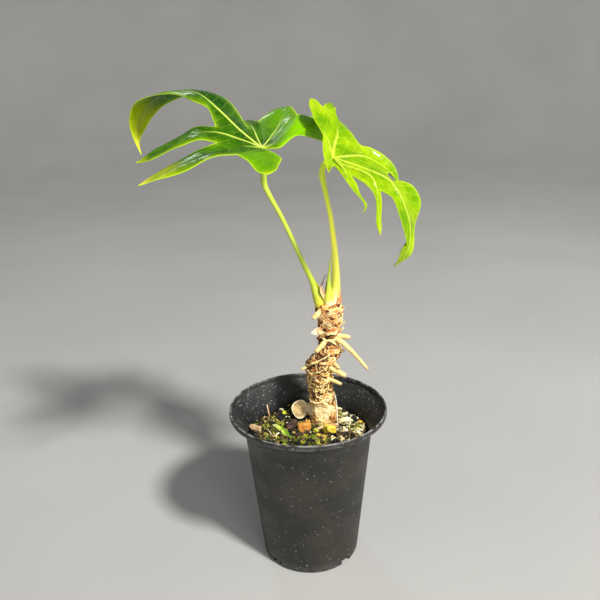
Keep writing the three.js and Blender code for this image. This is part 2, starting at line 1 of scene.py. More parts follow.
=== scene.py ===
"""A potted anthurium: every visible surface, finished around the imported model.

All objects are in metres in the model's own frame: the origin is the centre of the pot's flat
underside, +Z is up and -Y is the side that is looked at. Station lists are in millimetres.
"""
from __future__ import annotations

import json
import logging
import math
import random
from contextlib import contextmanager
from dataclasses import dataclass
from enum import Enum
from typing import Callable, Iterable, Iterator, Sequence

import bpy
import numpy as np
from mathutils import Matrix, Vector, kdtree, noise

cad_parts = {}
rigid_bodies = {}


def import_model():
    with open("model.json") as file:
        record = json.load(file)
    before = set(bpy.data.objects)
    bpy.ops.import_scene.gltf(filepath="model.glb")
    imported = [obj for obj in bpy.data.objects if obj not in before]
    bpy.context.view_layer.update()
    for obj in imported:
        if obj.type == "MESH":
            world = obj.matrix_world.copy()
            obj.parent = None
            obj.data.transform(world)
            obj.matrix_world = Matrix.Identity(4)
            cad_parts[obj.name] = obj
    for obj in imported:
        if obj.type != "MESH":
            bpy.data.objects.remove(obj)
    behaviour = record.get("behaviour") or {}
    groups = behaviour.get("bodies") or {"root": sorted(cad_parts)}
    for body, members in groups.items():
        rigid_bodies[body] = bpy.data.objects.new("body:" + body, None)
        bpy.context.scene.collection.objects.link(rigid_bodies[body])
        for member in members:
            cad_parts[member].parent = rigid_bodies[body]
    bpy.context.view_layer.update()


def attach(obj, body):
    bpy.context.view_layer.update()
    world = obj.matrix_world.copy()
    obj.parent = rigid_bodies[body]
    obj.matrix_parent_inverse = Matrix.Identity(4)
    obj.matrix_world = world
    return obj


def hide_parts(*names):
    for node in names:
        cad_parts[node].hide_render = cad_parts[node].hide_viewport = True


MM = 0.001
FULL_TURN = 2 * math.pi
BODY = "root"
WELD = 2e-6  # vertices closer than this are one
SOIL_LEVEL = 0.1006  # middle height of the soil's skin
LITTER_LEVEL = 0.1012  # lowest point of a loose piece on it
VEIN_PITCH = 0.0072  # distance between two side veins of a leaf
VEIN_SLOPE = 0.8  # how far a side vein runs on for each step outward
LOG = logging.getLogger("anthurium")

Array = np.ndarray
Piece = bpy.types.Object
Socket = bpy.types.NodeSocket
Node = bpy.types.Node
Tree = bpy.types.NodeTree
Material = bpy.types.Material
Station = tuple[float, ...]
Placed = tuple[Array, dict[str, Array]]


# ------------------------------------------------------------------ curves and frames
def catmull_rom(points: Sequence[Station], at: Array) -> Array:
    """Samples a smooth curve that passes through points.

    Args:
        points: The points, or any rows of numbers.
        at: Places on the curve, counted in points from 0.

    Returns:
        One row for each place.
    """
    rows = np.asarray(points, float)
    padded = np.vstack([2 * rows[0] - rows[1], rows, 2 * rows[-1] - rows[-2]])
    span = np.clip(np.floor(at).astype(int), 0, len(rows) - 2)
    t = (np.asarray(at, float) - span)[:, None]
    p0, p1, p2, p3 = (padded[span + k] for k in range(4))
    cubic = (3 * p1 - p0 - 3 * p2 + p3) * t**3
    return 0.5 * (2 * p1 + (p2 - p0) * t + (2 * p0 - 5 * p1 + 4 * p2 - p3) * t**2 + cubic)


def unit(rows: Array) -> Array:
    """Scales each row to length one."""
    return rows / np.maximum(np.linalg.norm(rows, axis=-1, keepdims=True), 1e-12)


def round_about(turn: Array, radius: Array | float, level: Array) -> Array:
    """Points at turns and radii about the upright axis, at levels."""
    return np.column_stack([np.cos(turn) * radius, np.sin(turn) * radius, level])


def smooth_step(value: Array, low: float, high: float) -> Array:
    """Rises smoothly from 0 at low to 1 at high."""
    t = np.clip((np.asarray(value, float) - low) / (high - low), 0, 1)
    return t * t * (3 - 2 * t)


def field_noise(points: Array, scale: float, seed: float = 0.0) -> Array:
    """Smooth random values from about -1 to 1.

    Args:
        points: Where, in metres.
        scale: Cells to the metre.
        seed: Picks another field.

    Returns:
        One value for each point.
    """
    shift = Vector((seed * 7.3, seed * 3.1, seed * 5.7))
    return np.array([noise.noise(Vector(p) * scale + shift) for p in points])


def ridges(points: Array, scale: float, seed: float = 0.0) -> Array:
    """Sharp winding crests: 1 along each crest, falling to 0 beside it."""
    return 1 - np.minimum(np.abs(field_noise(points, scale, seed)) * 4.5, 1)


def sweep_frames(centres: Array, start: Station = (1.0, 0.2, 0.0)) -> tuple[Array, Array, Array]:
    """Finds directions along and across a path, carried along it without twisting.

    Args:
        centres: The points of the path.
        start: Direction that the first one across leans to.

    Returns:
        The directions along it, and two across it, one row for each point.
    """
    along = unit(np.gradient(centres, axis=0))
    across = np.zeros_like(along)
    side = np.asarray(start, float)
    for index, direction in enumerate(along):
        side = unit(side - direction * (side @ direction))
        across[index] = side
    return along, across, np.cross(along, across)


# ------------------------------------------------------------------ modelling bench
def deselect() -> None:
    """Leaves edit mode and deselects every object."""
    if bpy.context.object and bpy.context.object.mode != "OBJECT":
        bpy.ops.object.mode_set(mode="OBJECT")
    bpy.ops.object.select_all(action="DESELECT")


def activate(piece: Piece) -> None:
    """Makes a piece the only selected and active object."""
    deselect()
    piece.select_set(True)
    bpy.context.view_layer.objects.active = piece


@contextmanager
def editing(piece: Piece) -> Iterator[None]:
    """Opens a piece in edit mode with everything selected, and closes it again.

    Args:
        piece: The piece to edit.
    """
    activate(piece)
    bpy.ops.object.mode_set(mode="EDIT")
    bpy.ops.mesh.select_all(action="SELECT")
    yield
    bpy.ops.object.mode_set(mode="OBJECT")


def coordinates(piece: Piece) -> Array:
    """All vertex coordinates of a piece, one row each."""
    values = np.zeros(len(piece.data.vertices) * 3)
    piece.data.vertices.foreach_get("co", values)
    return values.reshape(-1, 3)


def set_coordinates(piece: Piece, points: Array) -> None:
    """Moves every vertex of a piece."""
    piece.data.vertices.foreach_set("co", np.asarray(points, float).ravel())
    piece.data.update()


def weld(piece: Piece, recalculate: bool = True, distance: float = WELD) -> None:
    """Merges doubled vertices.

    Args:
        piece: The piece.
        recalculate: True to turn all faces outward as well.
        distance: Vertices closer than this are merged, in metres.
    """
    with editing(piece):
        bpy.ops.mesh.remove_doubles(threshold=distance)
        if recalculate:
            bpy.ops.mesh.normals_make_consistent(inside=False)


def smooth_shade(piece: Piece, angle: float = 60.0) -> None:
    """Shades a piece smooth except over edges sharper than angle, in degrees."""
    activate(piece)
    bpy.ops.object.shade_smooth_by_angle(angle=math.radians(angle))


def apply_modifier(piece: Piece, kind: str, **settings: object) -> None:
    """Adds one modifier and applies it at once.

    Args:
        piece: The piece.
        kind: Blender's name of the modifier.
        **settings: Values for its properties.
    """
    activate(piece)
    modifier = piece.modifiers.new(kind.lower(), kind)
    for name, value in settings.items():
        setattr(modifier, name, value)
    bpy.ops.object.modifier_apply(modifier=modifier.name)


def shaped_grid(name: str, columns: int, rows: int, place: Callable[[Array, Array], Placed]) -> Piece:
    """Adds a grid and moves each of its vertices to its own place.

    Args:
        name: Name of the new piece.
        columns: Faces along the grid's first side.
        rows: Faces along its second side.
        place: Gives points in metres for whole column and row numbers, and the numbers to store.

    Returns:
        The new piece.
    """
    deselect()
    bpy.ops.mesh.primitive_grid_add(x_subdivisions=columns, y_subdivisions=rows, size=1.0)
    piece = bpy.context.object
    piece.name = name
    piece.data.name = name
    flat = coordinates(piece)
    column = np.rint((flat[:, 0] + 0.5) * columns).astype(int)
    row = np.rint((flat[:, 1] + 0.5) * rows).astype(int)
    points, stored = place(column, row)
    set_coordinates(piece, points)
    for label, values in stored.items():
        store(piece, label, values)
    return piece


def join(name: str, pieces: Sequence[Piece]) -> Piece:
    """Joins pieces into one.

    Args:
        name: Name of the joined piece.
        pieces: The pieces, of which the first takes in the others.

    Returns:
        The joined piece.
    """
    deselect()
    for piece in pieces:
        piece.select_set(True)
    bpy.context.view_layer.objects.active = pieces[0]
    if len(pieces) > 1:
        bpy.ops.object.join()
    pieces[0].name = name
    pieces[0].data.name = name
    return pieces[0]


def settle(piece: Piece, nodes: Iterable[str] = (),
           material: Material | None = None) -> Piece:
    """Fixes a finished piece to the body.

    Args:
        piece: The piece.
        nodes: The plain solids that it stands for, if any.
        material: Its only material, unless it has been dressed already.

    Returns:
        The same piece.
    """
    if material:
        dress(piece, material)
    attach(piece, BODY)
    if nodes:
        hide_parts(*nodes)
    LOG.info("%s: %d faces", piece.name, len(piece.data.polygons))
    return piece


def dress(piece: Piece, *materials: Material) -> None:
    """Gives a piece exactly these materials."""
    piece.data.materials.clear()
    for material in materials:
        piece.data.materials.append(material)


def store(piece: Piece, name: str, values: Array) -> None:
    """Stores one number for each vertex, for a material to read."""
    attribute = piece.data.attributes.new(name, "FLOAT", "POINT")
    attribute.data.foreach_set("value", np.asarray(values, np.float32))


@dataclass
class Tube:
    """A round grown or cut rod along a smooth path. Its tone runs from 0 at the start to 1.

    Args:
        name: Name of the piece.
        stations: Path points with a radius: x, y, z, radius, in millimetres.
        sides: Faces round the rod.
        step: Length of a face along the rod, in millimetres.
        bulge: Roundness of the two ends, as a share of the radius there.
        lump: Height of the uneven skin, as a share of the radius.
        lump_scale: Lumps to the metre.
        groove: Depth of a groove along one side, as a share of the radius.
        seed: Picks the lumps.
    """

    name: str
    stations: Sequence[Station]
    sides: int = 20
    step: float = 0.8
    bulge: tuple[float, float] = (0.3, 0.6)
    lump: float = 0.08
    lump_scale: float = 220.0
    groove: float = 0.0
    seed: float = 1.0

    def build(self) -> Piece:
        """Builds the closed rod."""
        stations = np.asarray(self.stations, float)
        length = np.linalg.norm(np.diff(stations[:, :3], axis=0), axis=1).sum()
        count = max(int(length / self.step), 6)
        path = catmull_rom(stations, np.linspace(0, len(stations) - 1, count)) * MM
        along, across, third = sweep_frames(path[:, :3])
        cap = np.array([[0, 1.0], [0.45, 0.9], [0.8, 0.6], [0.96, 0.25]])
        width = np.concatenate([cap[:, 0], np.ones(count), cap[::-1, 0]])
        source = np.concatenate([[0] * 4, np.arange(count), [count - 1] * 4])
        push = np.concatenate([-self.bulge[0] * cap[:, 1], np.zeros(count),
                               self.bulge[1] * cap[::-1, 1]])

        def place(column: Array, row: Array) -> Placed:
            index = source[row]
            turn = column / self.sides * FULL_TURN
            dent = 1 - self.groove * np.exp(-((turn - math.pi) / 0.55)**2)
            radius = path[index, 3] * width[row] * dent
            ring = across[index] * np.cos(turn)[:, None] + third[index] * np.sin(turn)[:, None]
            centre = path[index, :3] + along[index] * (push[row] * path[index, 3])[:, None]
            points = centre + ring * radius[:, None]
            uneven = field_noise(points, self.lump_scale, self.seed) * self.lump * radius
            return points + ring * uneven[:, None], {"tone": index / (count - 1)}

        piece = shaped_grid(self.name, self.sides, count + 7, place)
        weld(piece)
        smooth_shade(piece, 80)
        return piece


# ------------------------------------------------------------------ shader bench
class Graph:
    """Nodes of one material or node group, added in short calls."""

    def __init__(self, tree: Tree) -> None:
        """Starts on a node tree."""
        self.tree = tree

    def node(self, kind: str, inputs: dict[str | int, object] | None = None,
             **settings: object) -> Node:
        """Adds a node.

        Args:
            kind: Blender's name of the node, without "ShaderNode".
            inputs: A link or a value for some of its inputs.
            **settings: Values for its own properties.

        Returns:
            The new node.
        """
        node = self.tree.nodes.new(kind if kind.startswith("Node") else "ShaderNode" + kind)
        for name, value in settings.items():
            setattr(node, name, value)
        self.put(node, inputs or {})
        return node

    def put(self, node: Node, inputs: dict[str | int, object]) -> None:
        """Gives a node's inputs a link each, or a constant.

        Args:
            node: The node.
            inputs: A link or a value for some of its inputs.
        """
        for name, value in inputs.items():
            if isinstance(value, Socket):
                self.tree.links.new(value, node.inputs[name])
            else:
                node.inputs[name].default_value = value

    def math(self, operation: str, first: object, second: object = 0.0, clamp: bool = False) -> Socket:
        """One arithmetic step on two values."""
        node = self.node("Math", {0: first, 1: second}, operation=operation, use_clamp=clamp)
        return node.outputs[0]

    def times(self, first: object, second: object, clamp: bool = False) -> Socket:
        """The product of two values."""
        return self.math("MULTIPLY", first, second, clamp)

    def remap(self, value: Socket, low: float, high: float, start: float = 0.0,
              end: float = 1.0) -> Socket:
        """Rises smoothly from start at low to end at high."""
        inputs = {"Value": value, "From Min": low, "From Max": high, "To Min": start, "To Max": end}
        return self.node("MapRange", inputs, interpolation_type="SMOOTHSTEP").outputs["Result"]

    def mix(self, factor: object, first: object, second: object, blend: str = "MIX") -> Socket:
        """Mixes two colours."""
        node = self.node("Mix", {0: factor, 6: first, 7: second}, data_type="RGBA", blend_type=blend)
        return node.outputs[2]

    def noise(self, vector: Socket, scale: float, detail: float = 3.0, rough: float = 0.55,
              warp: float = 0.0) -> Socket:
        """Adds a cloud.

        Args:
            vector: The place.
            scale: Clouds to the metre.
            detail: How many finer layers it has.
            rough: Share of each finer layer.
            warp: How far it is stirred.

        Returns:
            Values about 0.5.
        """
        inputs = {"Vector": vector, "Scale": scale, "Detail": detail, "Roughness": rough,
                  "Distortion": warp}
        return self.node("TexNoise", inputs).outputs["Fac"]

    def attribute(self, name: str) -> Socket:
        """A number stored on the piece."""
        return self.node("Attribute", attribute_name=name).outputs["Fac"]

    def place(self) -> Socket:
        """The place on the piece, in metres."""
        return self.node("TexCoord").outputs["Object"]

    def stretched(self, vector: Socket, scale: Station, turn: Station = (0, 0, 0)) -> Socket:
        """Turns and scales a place, so that a pattern on it is stretched."""
        return self.node("Mapping", {"Vector": vector, "Scale": scale, "Rotation": turn}).outputs[0]

    def ramp(self, value: Socket, *stops: tuple[float, tuple[float, float, float]]) -> Socket:
        """Turns a value into a colour.

        Args:
            value: What chooses the colour, from 0 to 1.
            *stops: Places on that scale with their colours.

        Returns:
            The colour.
        """
        node = self.node("ValToRGB", {"Fac": value})
        elements = node.color_ramp.elements
        while len(elements) < len(stops):
            elements.new(0.5)
        for element, (at, colour) in zip(elements, stops):
            element.position = at
            element.color = (*colour, 1)
        return node.outputs["Color"]

    def bump(self, height: Socket, distance: float, strength: float = 1.0,
             after: Socket | None = None) -> Socket:
        """Turns a height into a normal.

        Args:
            height: Values from 0 to 1.
            distance: Height of a full step, in metres.
            strength: Share of it that shows.
            after: A normal that this one is laid over.

        Returns:
            The normal.
        """
        inputs = {"Height": height, "Distance": distance, "Strength": strength}
        if after:
            inputs["Normal"] = after
        return self.node("Bump", inputs).outputs["Normal"]

    def effect(self, kind: "Effect", **inputs: object) -> Node:
        """Places one of the shared effects with its own values."""
        return self.node("Group", inputs, node_tree=effect_tree(kind))

    def hand(self, end: Node, **values: Socket) -> Tree:
        """Links values to a group's outputs and gives the finished group."""
        self.put(end, values)
        return self.tree


class Effect(Enum):
    """The effects that several finishes share."""

    MOTTLE = "mottle"
    SPECKS = "specks"
    FIBRES = "fibres"
    VEINS = "side veins"
    SCUFFS = "scuffs"


def open_group(kind: Effect, outputs: dict[str, str],
               **inputs: object) -> tuple[Graph, dict[str, Socket], Node]:
    """Starts a node group with named inputs and outputs.

    Args:
        kind: The effect, which names the group.
        outputs: Kind of each output.
        **inputs: Default of each input: a number, a colour, or None for a place.

    Returns:
        Its graph, its inputs by name and its output node.
    """
    tree = bpy.data.node_groups.new(kind.value, "ShaderNodeTree")
    for name, value in inputs.items():
        sort = {float: "Float", tuple: "Color"}.get(type(value), "Vector")
        socket = tree.interface.new_socket(name, in_out="INPUT", socket_type="NodeSocket" + sort)
        if value is not None:
            socket.default_value = value
    for name, sort in outputs.items():
        tree.interface.new_socket(name, in_out="OUTPUT", socket_type="NodeSocket" + sort)
    start = tree.nodes.new("NodeGroupInput")
    end = tree.nodes.new("NodeGroupOutput")
    return Graph(tree), {socket.name: socket for socket in start.outputs if socket.name}, end


def mottle_tree() -> Tree:
    """Two scales of cloud between two colours."""
    graph, given, end = open_group(Effect.MOTTLE, {"Color": "Color"}, Place=None, Scale=60.0, Fine=0.4,
                                   Dark=(0, 0, 0, 1), Light=(1, 1, 1, 1))
    coarse = graph.node("TexNoise", {"Vector": given["Place"], "Scale": given["Scale"], "Detail": 3.0})
    fine_scale = graph.times(given["Scale"], 7.0)
    fine = graph.node("TexNoise", {"Vector": given["Place"], "Scale": fine_scale, "Detail": 4.0})
    share = graph.node("Mix", {0: given["Fine"], 2: coarse.outputs["Fac"], 3: fine.outputs["Fac"]})
    value = graph.remap(share.outputs[0], 0.32, 0.68)
    return graph.hand(end, Color=graph.mix(value, given["Dark"], given["Light"]))


def specks_tree() -> Tree:
    """Small separate dots, each of its own size, where chance allows them."""
    graph, given, end = open_group(Effect.SPECKS, {"Mask": "Float"}, Place=None, Scale=400.0, Size=0.2,
                                   Chance=0.3)
    cells = graph.node("TexVoronoi", {"Vector": given["Place"], "Scale": given["Scale"]})
    lot = graph.node("SeparateColor", {0: cells.outputs["Color"]})
    size = graph.times(given["Size"], graph.math("ADD", lot.outputs[1], 0.35))
    dot = graph.math("LESS_THAN", cells.outputs["Distance"], size)
    kept = graph.math("LESS_THAN", lot.outputs[0], given["Chance"])
    return graph.hand(end, Mask=graph.times(dot, kept))


def fibres_tree() -> Tree:
    """Fine strands along a piece's third direction."""
    graph, given, end = open_group(Effect.FIBRES, {"Value": "Float"}, Place=None, Scale=900.0,
                                   Length=0.12)
    parts = graph.node("SeparateXYZ", {0: given["Place"]})
    drawn = graph.times(parts.outputs[2], given["Length"])
    strand = graph.node("CombineXYZ", {0: parts.outputs[0], 1: parts.outputs[1], 2: drawn})
    cloud = graph.node("TexNoise", {"Vector": strand.outputs[0], "Scale": given["Scale"],
                                    "Detail": 3.0, "Roughness": 0.65})
    return graph.hand(end, Value=graph.remap(cloud.outputs["Fac"], 0.3, 0.7))


def veins_tree() -> Tree:
    """Side veins that leave the rib towards the tip: a line each, and the swell between two."""
    graph, given, end = open_group(Effect.VEINS, {"Line": "Float", "Swell": "Float"}, Across=0.0,
                                   Along=0.0, Pitch=VEIN_PITCH, Slope=VEIN_SLOPE, Stir=0.0)
    reach = graph.math("ABSOLUTE", given["Across"])
    lean = graph.times(reach, given["Slope"])
    phase = graph.math("SUBTRACT", given["Along"], lean)
    phase = graph.math("DIVIDE", graph.math("ADD", phase, given["Stir"]), given["Pitch"])
    wave = graph.math("COSINE", graph.times(phase, FULL_TURN))
    return graph.hand(end, Line=graph.remap(wave, 0.93, 1.0),
                      Swell=graph.remap(wave, -1.0, 1.0, 1.0, 0.0))


def scuffs_tree() -> Tree:
    """Soft slanting smears, as handling leaves on dusty plastic."""
    graph, given, end = open_group(Effect.SCUFFS, {"Mask": "Float"}, Place=None, Scale=18.0, Cut=0.5)
    slant = graph.stretched(given["Place"], (1.0, 1.0, 0.28), (0.5, 0.7, 0.2))
    broad = graph.node("TexNoise", {"Vector": slant, "Scale": given["Scale"], "Detail": 6.0,
                                    "Roughness": 0.62, "Distortion": 0.6})
    over = graph.math("SUBTRACT", broad.outputs["Fac"], given["Cut"])
    return graph.hand(end, Mask=graph.times(over, 5.0, clamp=True))


def effect_tree(kind: Effect) -> Tree:
    """Finds the node group of an effect.

    Args:
        kind: The effect.

    Returns:
        Its node group, built on first use.
    """
    known = bpy.data.node_groups.get(kind.value)
    if known:
        return known
    builders = {
        Effect.MOTTLE: mottle_tree, Effect.SPECKS: specks_tree, Effect.FIBRES: fibres_tree,
        Effect.VEINS: veins_tree, Effect.SCUFFS: scuffs_tree,
    }
    return builders[kind]()


@dataclass(frozen=True)
class Finish:
    """What every finish has.

    Args:
        name: Name of the material.
        roughness: Middle roughness.
    """

    name: str
    roughness: float = 0.6

    def material(self) -> Material:
        """Builds the material."""
        material = bpy.data.materials.new(self.name)
        material.use_nodes = True
        material.node_tree.nodes.clear()
        graph = Graph(material.node_tree)
        shader = graph.node("BsdfPrincipled", {"Roughness": self.roughness})
        graph.node("OutputMaterial", {0: shader.outputs[0]})
        self.paint(graph, shader, graph.place())
        return material

    def paint(self, graph: Graph, shader: Node, place: Socket) -> None:
        """Adds what this kind of finish looks like to an empty material.

        Args:
            graph: The material's nodes.
            shader: Its shader.
            place: The place on the piece, in metres.
        """
        raise NotImplementedError

    @staticmethod
    def feed(graph: Graph, shader: Node, **values: object) -> None:
        """Fills the shader's inputs, whose names have _ for a space."""
        graph.put(shader, {name.replace("_", " "): value for name, value in values.items()})


# ------------------------------------------------------------------ leaf blades
@dataclass(frozen=True)
class LeafFinish(Finish):
    """The skin of one side of a leaf.

    Args:
        deep: Colour in the middle of the blade.
        light: Colour of its paler clouds.
        vein: Colour of the ribs.
        margin: Colour along the free edge.
        painted_light: Colour of the painted light that lifts lobes lying in shade.
        olive: Colour of a lobe that begins to turn.
        old: Colour of a yellowed tip.
        rib_share: How strongly the ribs show, from 0 to 1.
        coat: Gloss of the wax on it.
        line_share: How strongly the side veins show.
        edge_share: How strongly the broad pale edge shows.
        margin_share: How strongly the thin line along the edge shows.
        painted_glow: Painted light: the skin glows faintly in its own colour, which lifts the parts in
            shade.
    """

    deep: Station = (0.05, 0.25, 0.004)
    light: Station = (0.1, 0.38, 0.008)
    vein: Station = (0.55, 0.72, 0.12)
    margin: Station = (0.45, 0.75, 0.06)
    painted_light: Station = (0.17, 0.42, 0.0)
    olive: Station = (0.3, 0.36, 0.002)
    old: Station = (0.72, 0.68, 0.06)
    rib_share: float = 0.95
    coat: float = 0.22
    line_share: float = 0.12
    edge_share: float = 0.2
    margin_share: float = 0.8
    painted_glow: float = 0.0

    def paint(self, graph: Graph, shader: Node, place: Socket) -> None:
        """Paints the skin of a leaf; Finish.paint names the arguments."""
        lobe = graph.node("SeparateXYZ", {0: graph.node("UVMap", uv_map="Lobe").outputs[0]})
        stir = graph.times(graph.noise(place, 110), 0.004)
        veins = graph.effect(Effect.VEINS, Across=lobe.outputs[0], Along=lobe.outputs[1],
                             Pitch=VEIN_PITCH, Slope=VEIN_SLOPE, Stir=stir)
        mottle = graph.effect(Effect.MOTTLE, Place=place, Scale=55.0, Fine=0.25,
                              Dark=(*self.deep, 1), Light=(*self.light, 1))
        colour = mottle.outputs["Color"]
        edge = graph.attribute("rim")
        near_edge = graph.times(graph.remap(edge, 0.0, 0.006, 1.0, 0.0), self.edge_share)
        colour = graph.mix(near_edge, colour, (*self.margin, 1))
        line = graph.times(veins.outputs["Line"], self.line_share)
        colour = graph.mix(line, colour, (*self.vein, 1))
        # Painted light: lobes that lie in shade are lifted towards a brighter green.
        colour = graph.mix(graph.attribute("painted_light"), colour, (*self.painted_light, 1))
        age = graph.attribute("age")
        colour = graph.mix(graph.remap(age, 0.0, 0.6, 0.0, 0.8), colour, (*self.olive, 1))
        colour = graph.mix(graph.remap(age, 0.6, 1.0), colour, (*self.old, 1))
        thin_edge = graph.remap(edge, 0.0002, 0.0011, self.margin_share, 0.0)
        colour = graph.mix(thin_edge, colour, (*self.margin, 1))
        rib = graph.times(graph.attribute("rib"), self.rib_share)
        colour = graph.mix(rib, colour, (*self.vein, 1))
        swell = graph.times(veins.outputs["Swell"], graph.remap(edge, 0.0, 0.004))
        normal = graph.bump(swell, 0.0002, 0.7)
        normal = graph.bump(graph.noise(place, 130, 2, 0.5, 0.3), 0.0011, 0.6, normal)
        normal = graph.bump(graph.noise(place, 1500, 3), 0.00008, 0.5, normal)
        gloss = graph.remap(graph.noise(place, 60), 0.3, 0.7, self.roughness - 0.06, self.roughness + 0.09)
        # Painted light: a faint glow in the skin's own colour lifts the parts in shade.
        if self.painted_glow:
            self.feed(graph, shader, Emission_Strength=self.painted_glow, Emission_Color=colour)
        self.feed(graph, shader, Base_Color=colour, Normal=normal, Roughness=gloss,
                  Specular_IOR_Level=0.05, Coat_Weight=self.coat, Coat_Roughness=0.09, Coat_IOR=1.35,
                  Subsurface_Weight=0.12, Subsurface_Radius=(0.4, 1.0, 0.1), Subsurface_Scale=0.003)


@dataclass(frozen=True)
class Lobe:
    """One lobe of a leaf, in millimetres.

    Args:
        vein: Its vein, from beside the hub to the tip.
        before: Free edge on its first side, from the notch towards the tip.
        after: Free edge on its second side.
        yellow: How far its tip has turned yellow, in millimetres.
        rib_end: Share of its length where the pale rib fades into the blade.
        rib: Width of its rib as a share of the usual.
        painted_light: How strongly painted light lifts its colour where it lies in shade, from 0 to 1.
    """

    vein: Sequence[Station]
    before: Sequence[Station]
    after: Sequence[Station]
    yellow: float = 5.0
    rib_end: float = 1.2
    rib: float = 1.0
    painted_light: float = 0.0


@dataclass
class LeafBlade:
    """A lobed blade grown as one thin sheet with raised ribs, in millimetres.

    Args:
        name: Name of the piece.
        node: The plain blade that it stands for.
        slot: Its material slot; not used.
        hub: Where the stalk joins.
        webs: The line that lobes next to each other share, from beside the hub to the notch.
        lobes: The lobes in order round the hub.
        finishes: Finishes of the top and the underside.
        rib: Half width of a rib at the hub and at the tip.
        rows: Faces along a lobe between two points of its lines.
        half: Faces from the vein to the edge.
        camber: Height of the arch between vein and edge, as a share of that width.
        full_thickness: Thickness at the ribs.
        seed: Picks the waves.
    """

    name: str
    node: str
    slot: str
    hub: Station
    webs: Sequence[Sequence[Station]]
    lobes: Sequence[Lobe]
    finishes: tuple[LeafFinish, LeafFinish]
    rib: tuple[float, float] = (1.25, 0.45)
    rows: int = 11
    half: int = 12
    camber: float = 0.07
    full_thickness: float = 2.0
    seed: float = 1.0

    def edge(self, web: Sequence[Station], free: Sequence[Station], tip: Station) -> Array:
        """Runs along one edge of a lobe.

        Args:
            web: The line shared with the lobe beside it, if there is one.
            free: Its free edge.
            tip: Its tip.

        Returns:
            Points in metres, along the web to the notch, then free to the tip.
        """
        start = web[-1] if web else self.hub
        own = catmull_rom([start, *free, tip], np.arange(self.rows * (len(free) + 1) + 1) / self.rows)
        if not web:
            return own * MM
        shared = catmull_rom([self.hub, *web], np.arange(self.rows * len(web) + 1) / self.rows)
        return np.vstack([shared, own[1:]]) * MM

    def rib_width(self, share: Array) -> Array:
        """Half width of the rib at a share of the way to the tip, in metres."""
        wide, narrow = self.rib
        return (wide + (narrow - wide) * share**0.7) * MM

    def lobe_grid(self, index: int) -> Piece:
        """Builds one lobe as a grid from edge over vein to edge.

        Args:
            index: Its place in the order.

        Returns:
            The lobe, with what its finishes read stored on it.
        """
        lobe = self.lobes[index]
        webs = [(), *self.webs, ()]
        count = self.rows * len(lobe.vein)
        vein = catmull_rom([self.hub, *lobe.vein], np.arange(count + 1) / self.rows) * MM
        edges = [self.edge(webs[index], lobe.before, lobe.vein[-1]),
                 self.edge(webs[index + 1], lobe.after, lobe.vein[-1])]
        along = unit(np.gradient(vein, axis=0))
        up = unit(np.cross(edges[1] - edges[0], along))
        run = np.concatenate([[0], np.cumsum(np.linalg.norm(np.diff(vein, axis=0), axis=1))])
        rib = self.rib_width(run / run[-1]) * lobe.rib
        steps = np.array([0, 0.35, 0.7, 1.05, 1.45])
        last_step = len(steps) - 1
        seen: dict[str, Array] = {}

        def place(column: Array, row: Array) -> Placed:
            step = np.abs(column - self.half)
            side = (column > self.half).astype(int)
            rim = np.stack(edges)[side, row]
            reach = np.linalg.norm(rim - vein[row], axis=1)
            inner = np.minimum(rib[row] * steps[np.minimum(step, last_step)], reach * 0.085 * step)
            last = reach - np.minimum(0.0005, 0.08 * reach)
            fourth = np.minimum(rib[row] * steps[last_step], reach * 0.34)
            middle = fourth + (last - fourth) * (step - last_step) / (self.half - last_step - 1)
            across = np.where(step <= last_step, inner, np.where(step == self.half, reach, middle))
            share = across / np.maximum(reach, 1e-9)
            first_free = np.array([len(webs[index]), len(webs[index + 1])])[side] * self.rows
            free = smooth_step(row - first_free, 0, 1.2 * self.rows)
            camber = self.camber * (0.45 + 0.55 * free) * reach * np.sin(math.pi * share)
            phase = (run[row] - VEIN_SLOPE * across) / VEIN_PITCH
            quilt = 0.00013 * (1 - np.cos(FULL_TURN * phase)) * np.sin(math.pi * share)
            quilt = quilt * smooth_step(reach, 0.004, 0.012)
            wave = np.array([noise.noise(Vector((r * 55, s * 9 + index * 5, self.seed)))
                             for r, s in zip(run[row], side)])
            wave = wave * 0.0011 * share**3 * free * smooth_step(run[-1] - run[row], 0.001, 0.01)
            way = run[row] / run[-1]
            shown = 1 - smooth_step(way, lobe.rib_end - 0.2, lobe.rib_end + 0.12)
            left = (run[-1] - run[row]) / (lobe.yellow * MM)
            swell = np.sqrt(np.clip(1 - (across / (1.45 * rib[row]))**2, 0, 1))
            seen.update(across=across * (2 * side - 1), along=run[row],
                        swell=swell * (1 - 0.62 * way) * (0.3 + 0.7 * shown))
            age = 0.6 * (1 - smooth_step(left, 0.3, 1.0)) + 0.4 * (1 - smooth_step(left, 0.0, 0.35))
            pale = (1 - smooth_step(across, 0.7 * rib[row], 1.35 * rib[row])) * shown
            sheet = vein[row] + (rim - vein[row]) * share[:, None]
            # The painted light on a shaded lobe grows from near the hub outward.
            return (sheet + up[row] * (camber + quilt + wave)[:, None],
                    {"rib": pale, "age": age, "painted_light": lobe.painted_light * smooth_step(way, 0.05, 0.4)})

        piece = shaped_grid(f"{self.name}_{index}", 2 * self.half, count, place)
        group = piece.vertex_groups.new(name="ribs")
        for vertex, swell in enumerate(seen["swell"]):
            group.add([vertex], 0.22 + 0.78 * float(swell), "REPLACE")
        self.lay_map(piece, seen["across"], seen["along"])
        return piece

    @staticmethod
    def lay_map(piece: Piece, across: Array, along: Array) -> None:
        """Stores the leaf's own map.

        Args:
            piece: The lobe.
            across: Distance of each vertex from the vein, in metres.
            along: Distance of its foot on the vein from the hub.
        """
        mesh = piece.data
        while mesh.uv_layers:
            mesh.uv_layers.remove(mesh.uv_layers[0])
        layer = mesh.uv_layers.new(name="Lobe")
        corner = np.zeros(len(mesh.loops), int)
        mesh.loops.foreach_get("vertex_index", corner)
        layer.data.foreach_set("uv", np.column_stack([across[corner], along[corner]]).ravel())

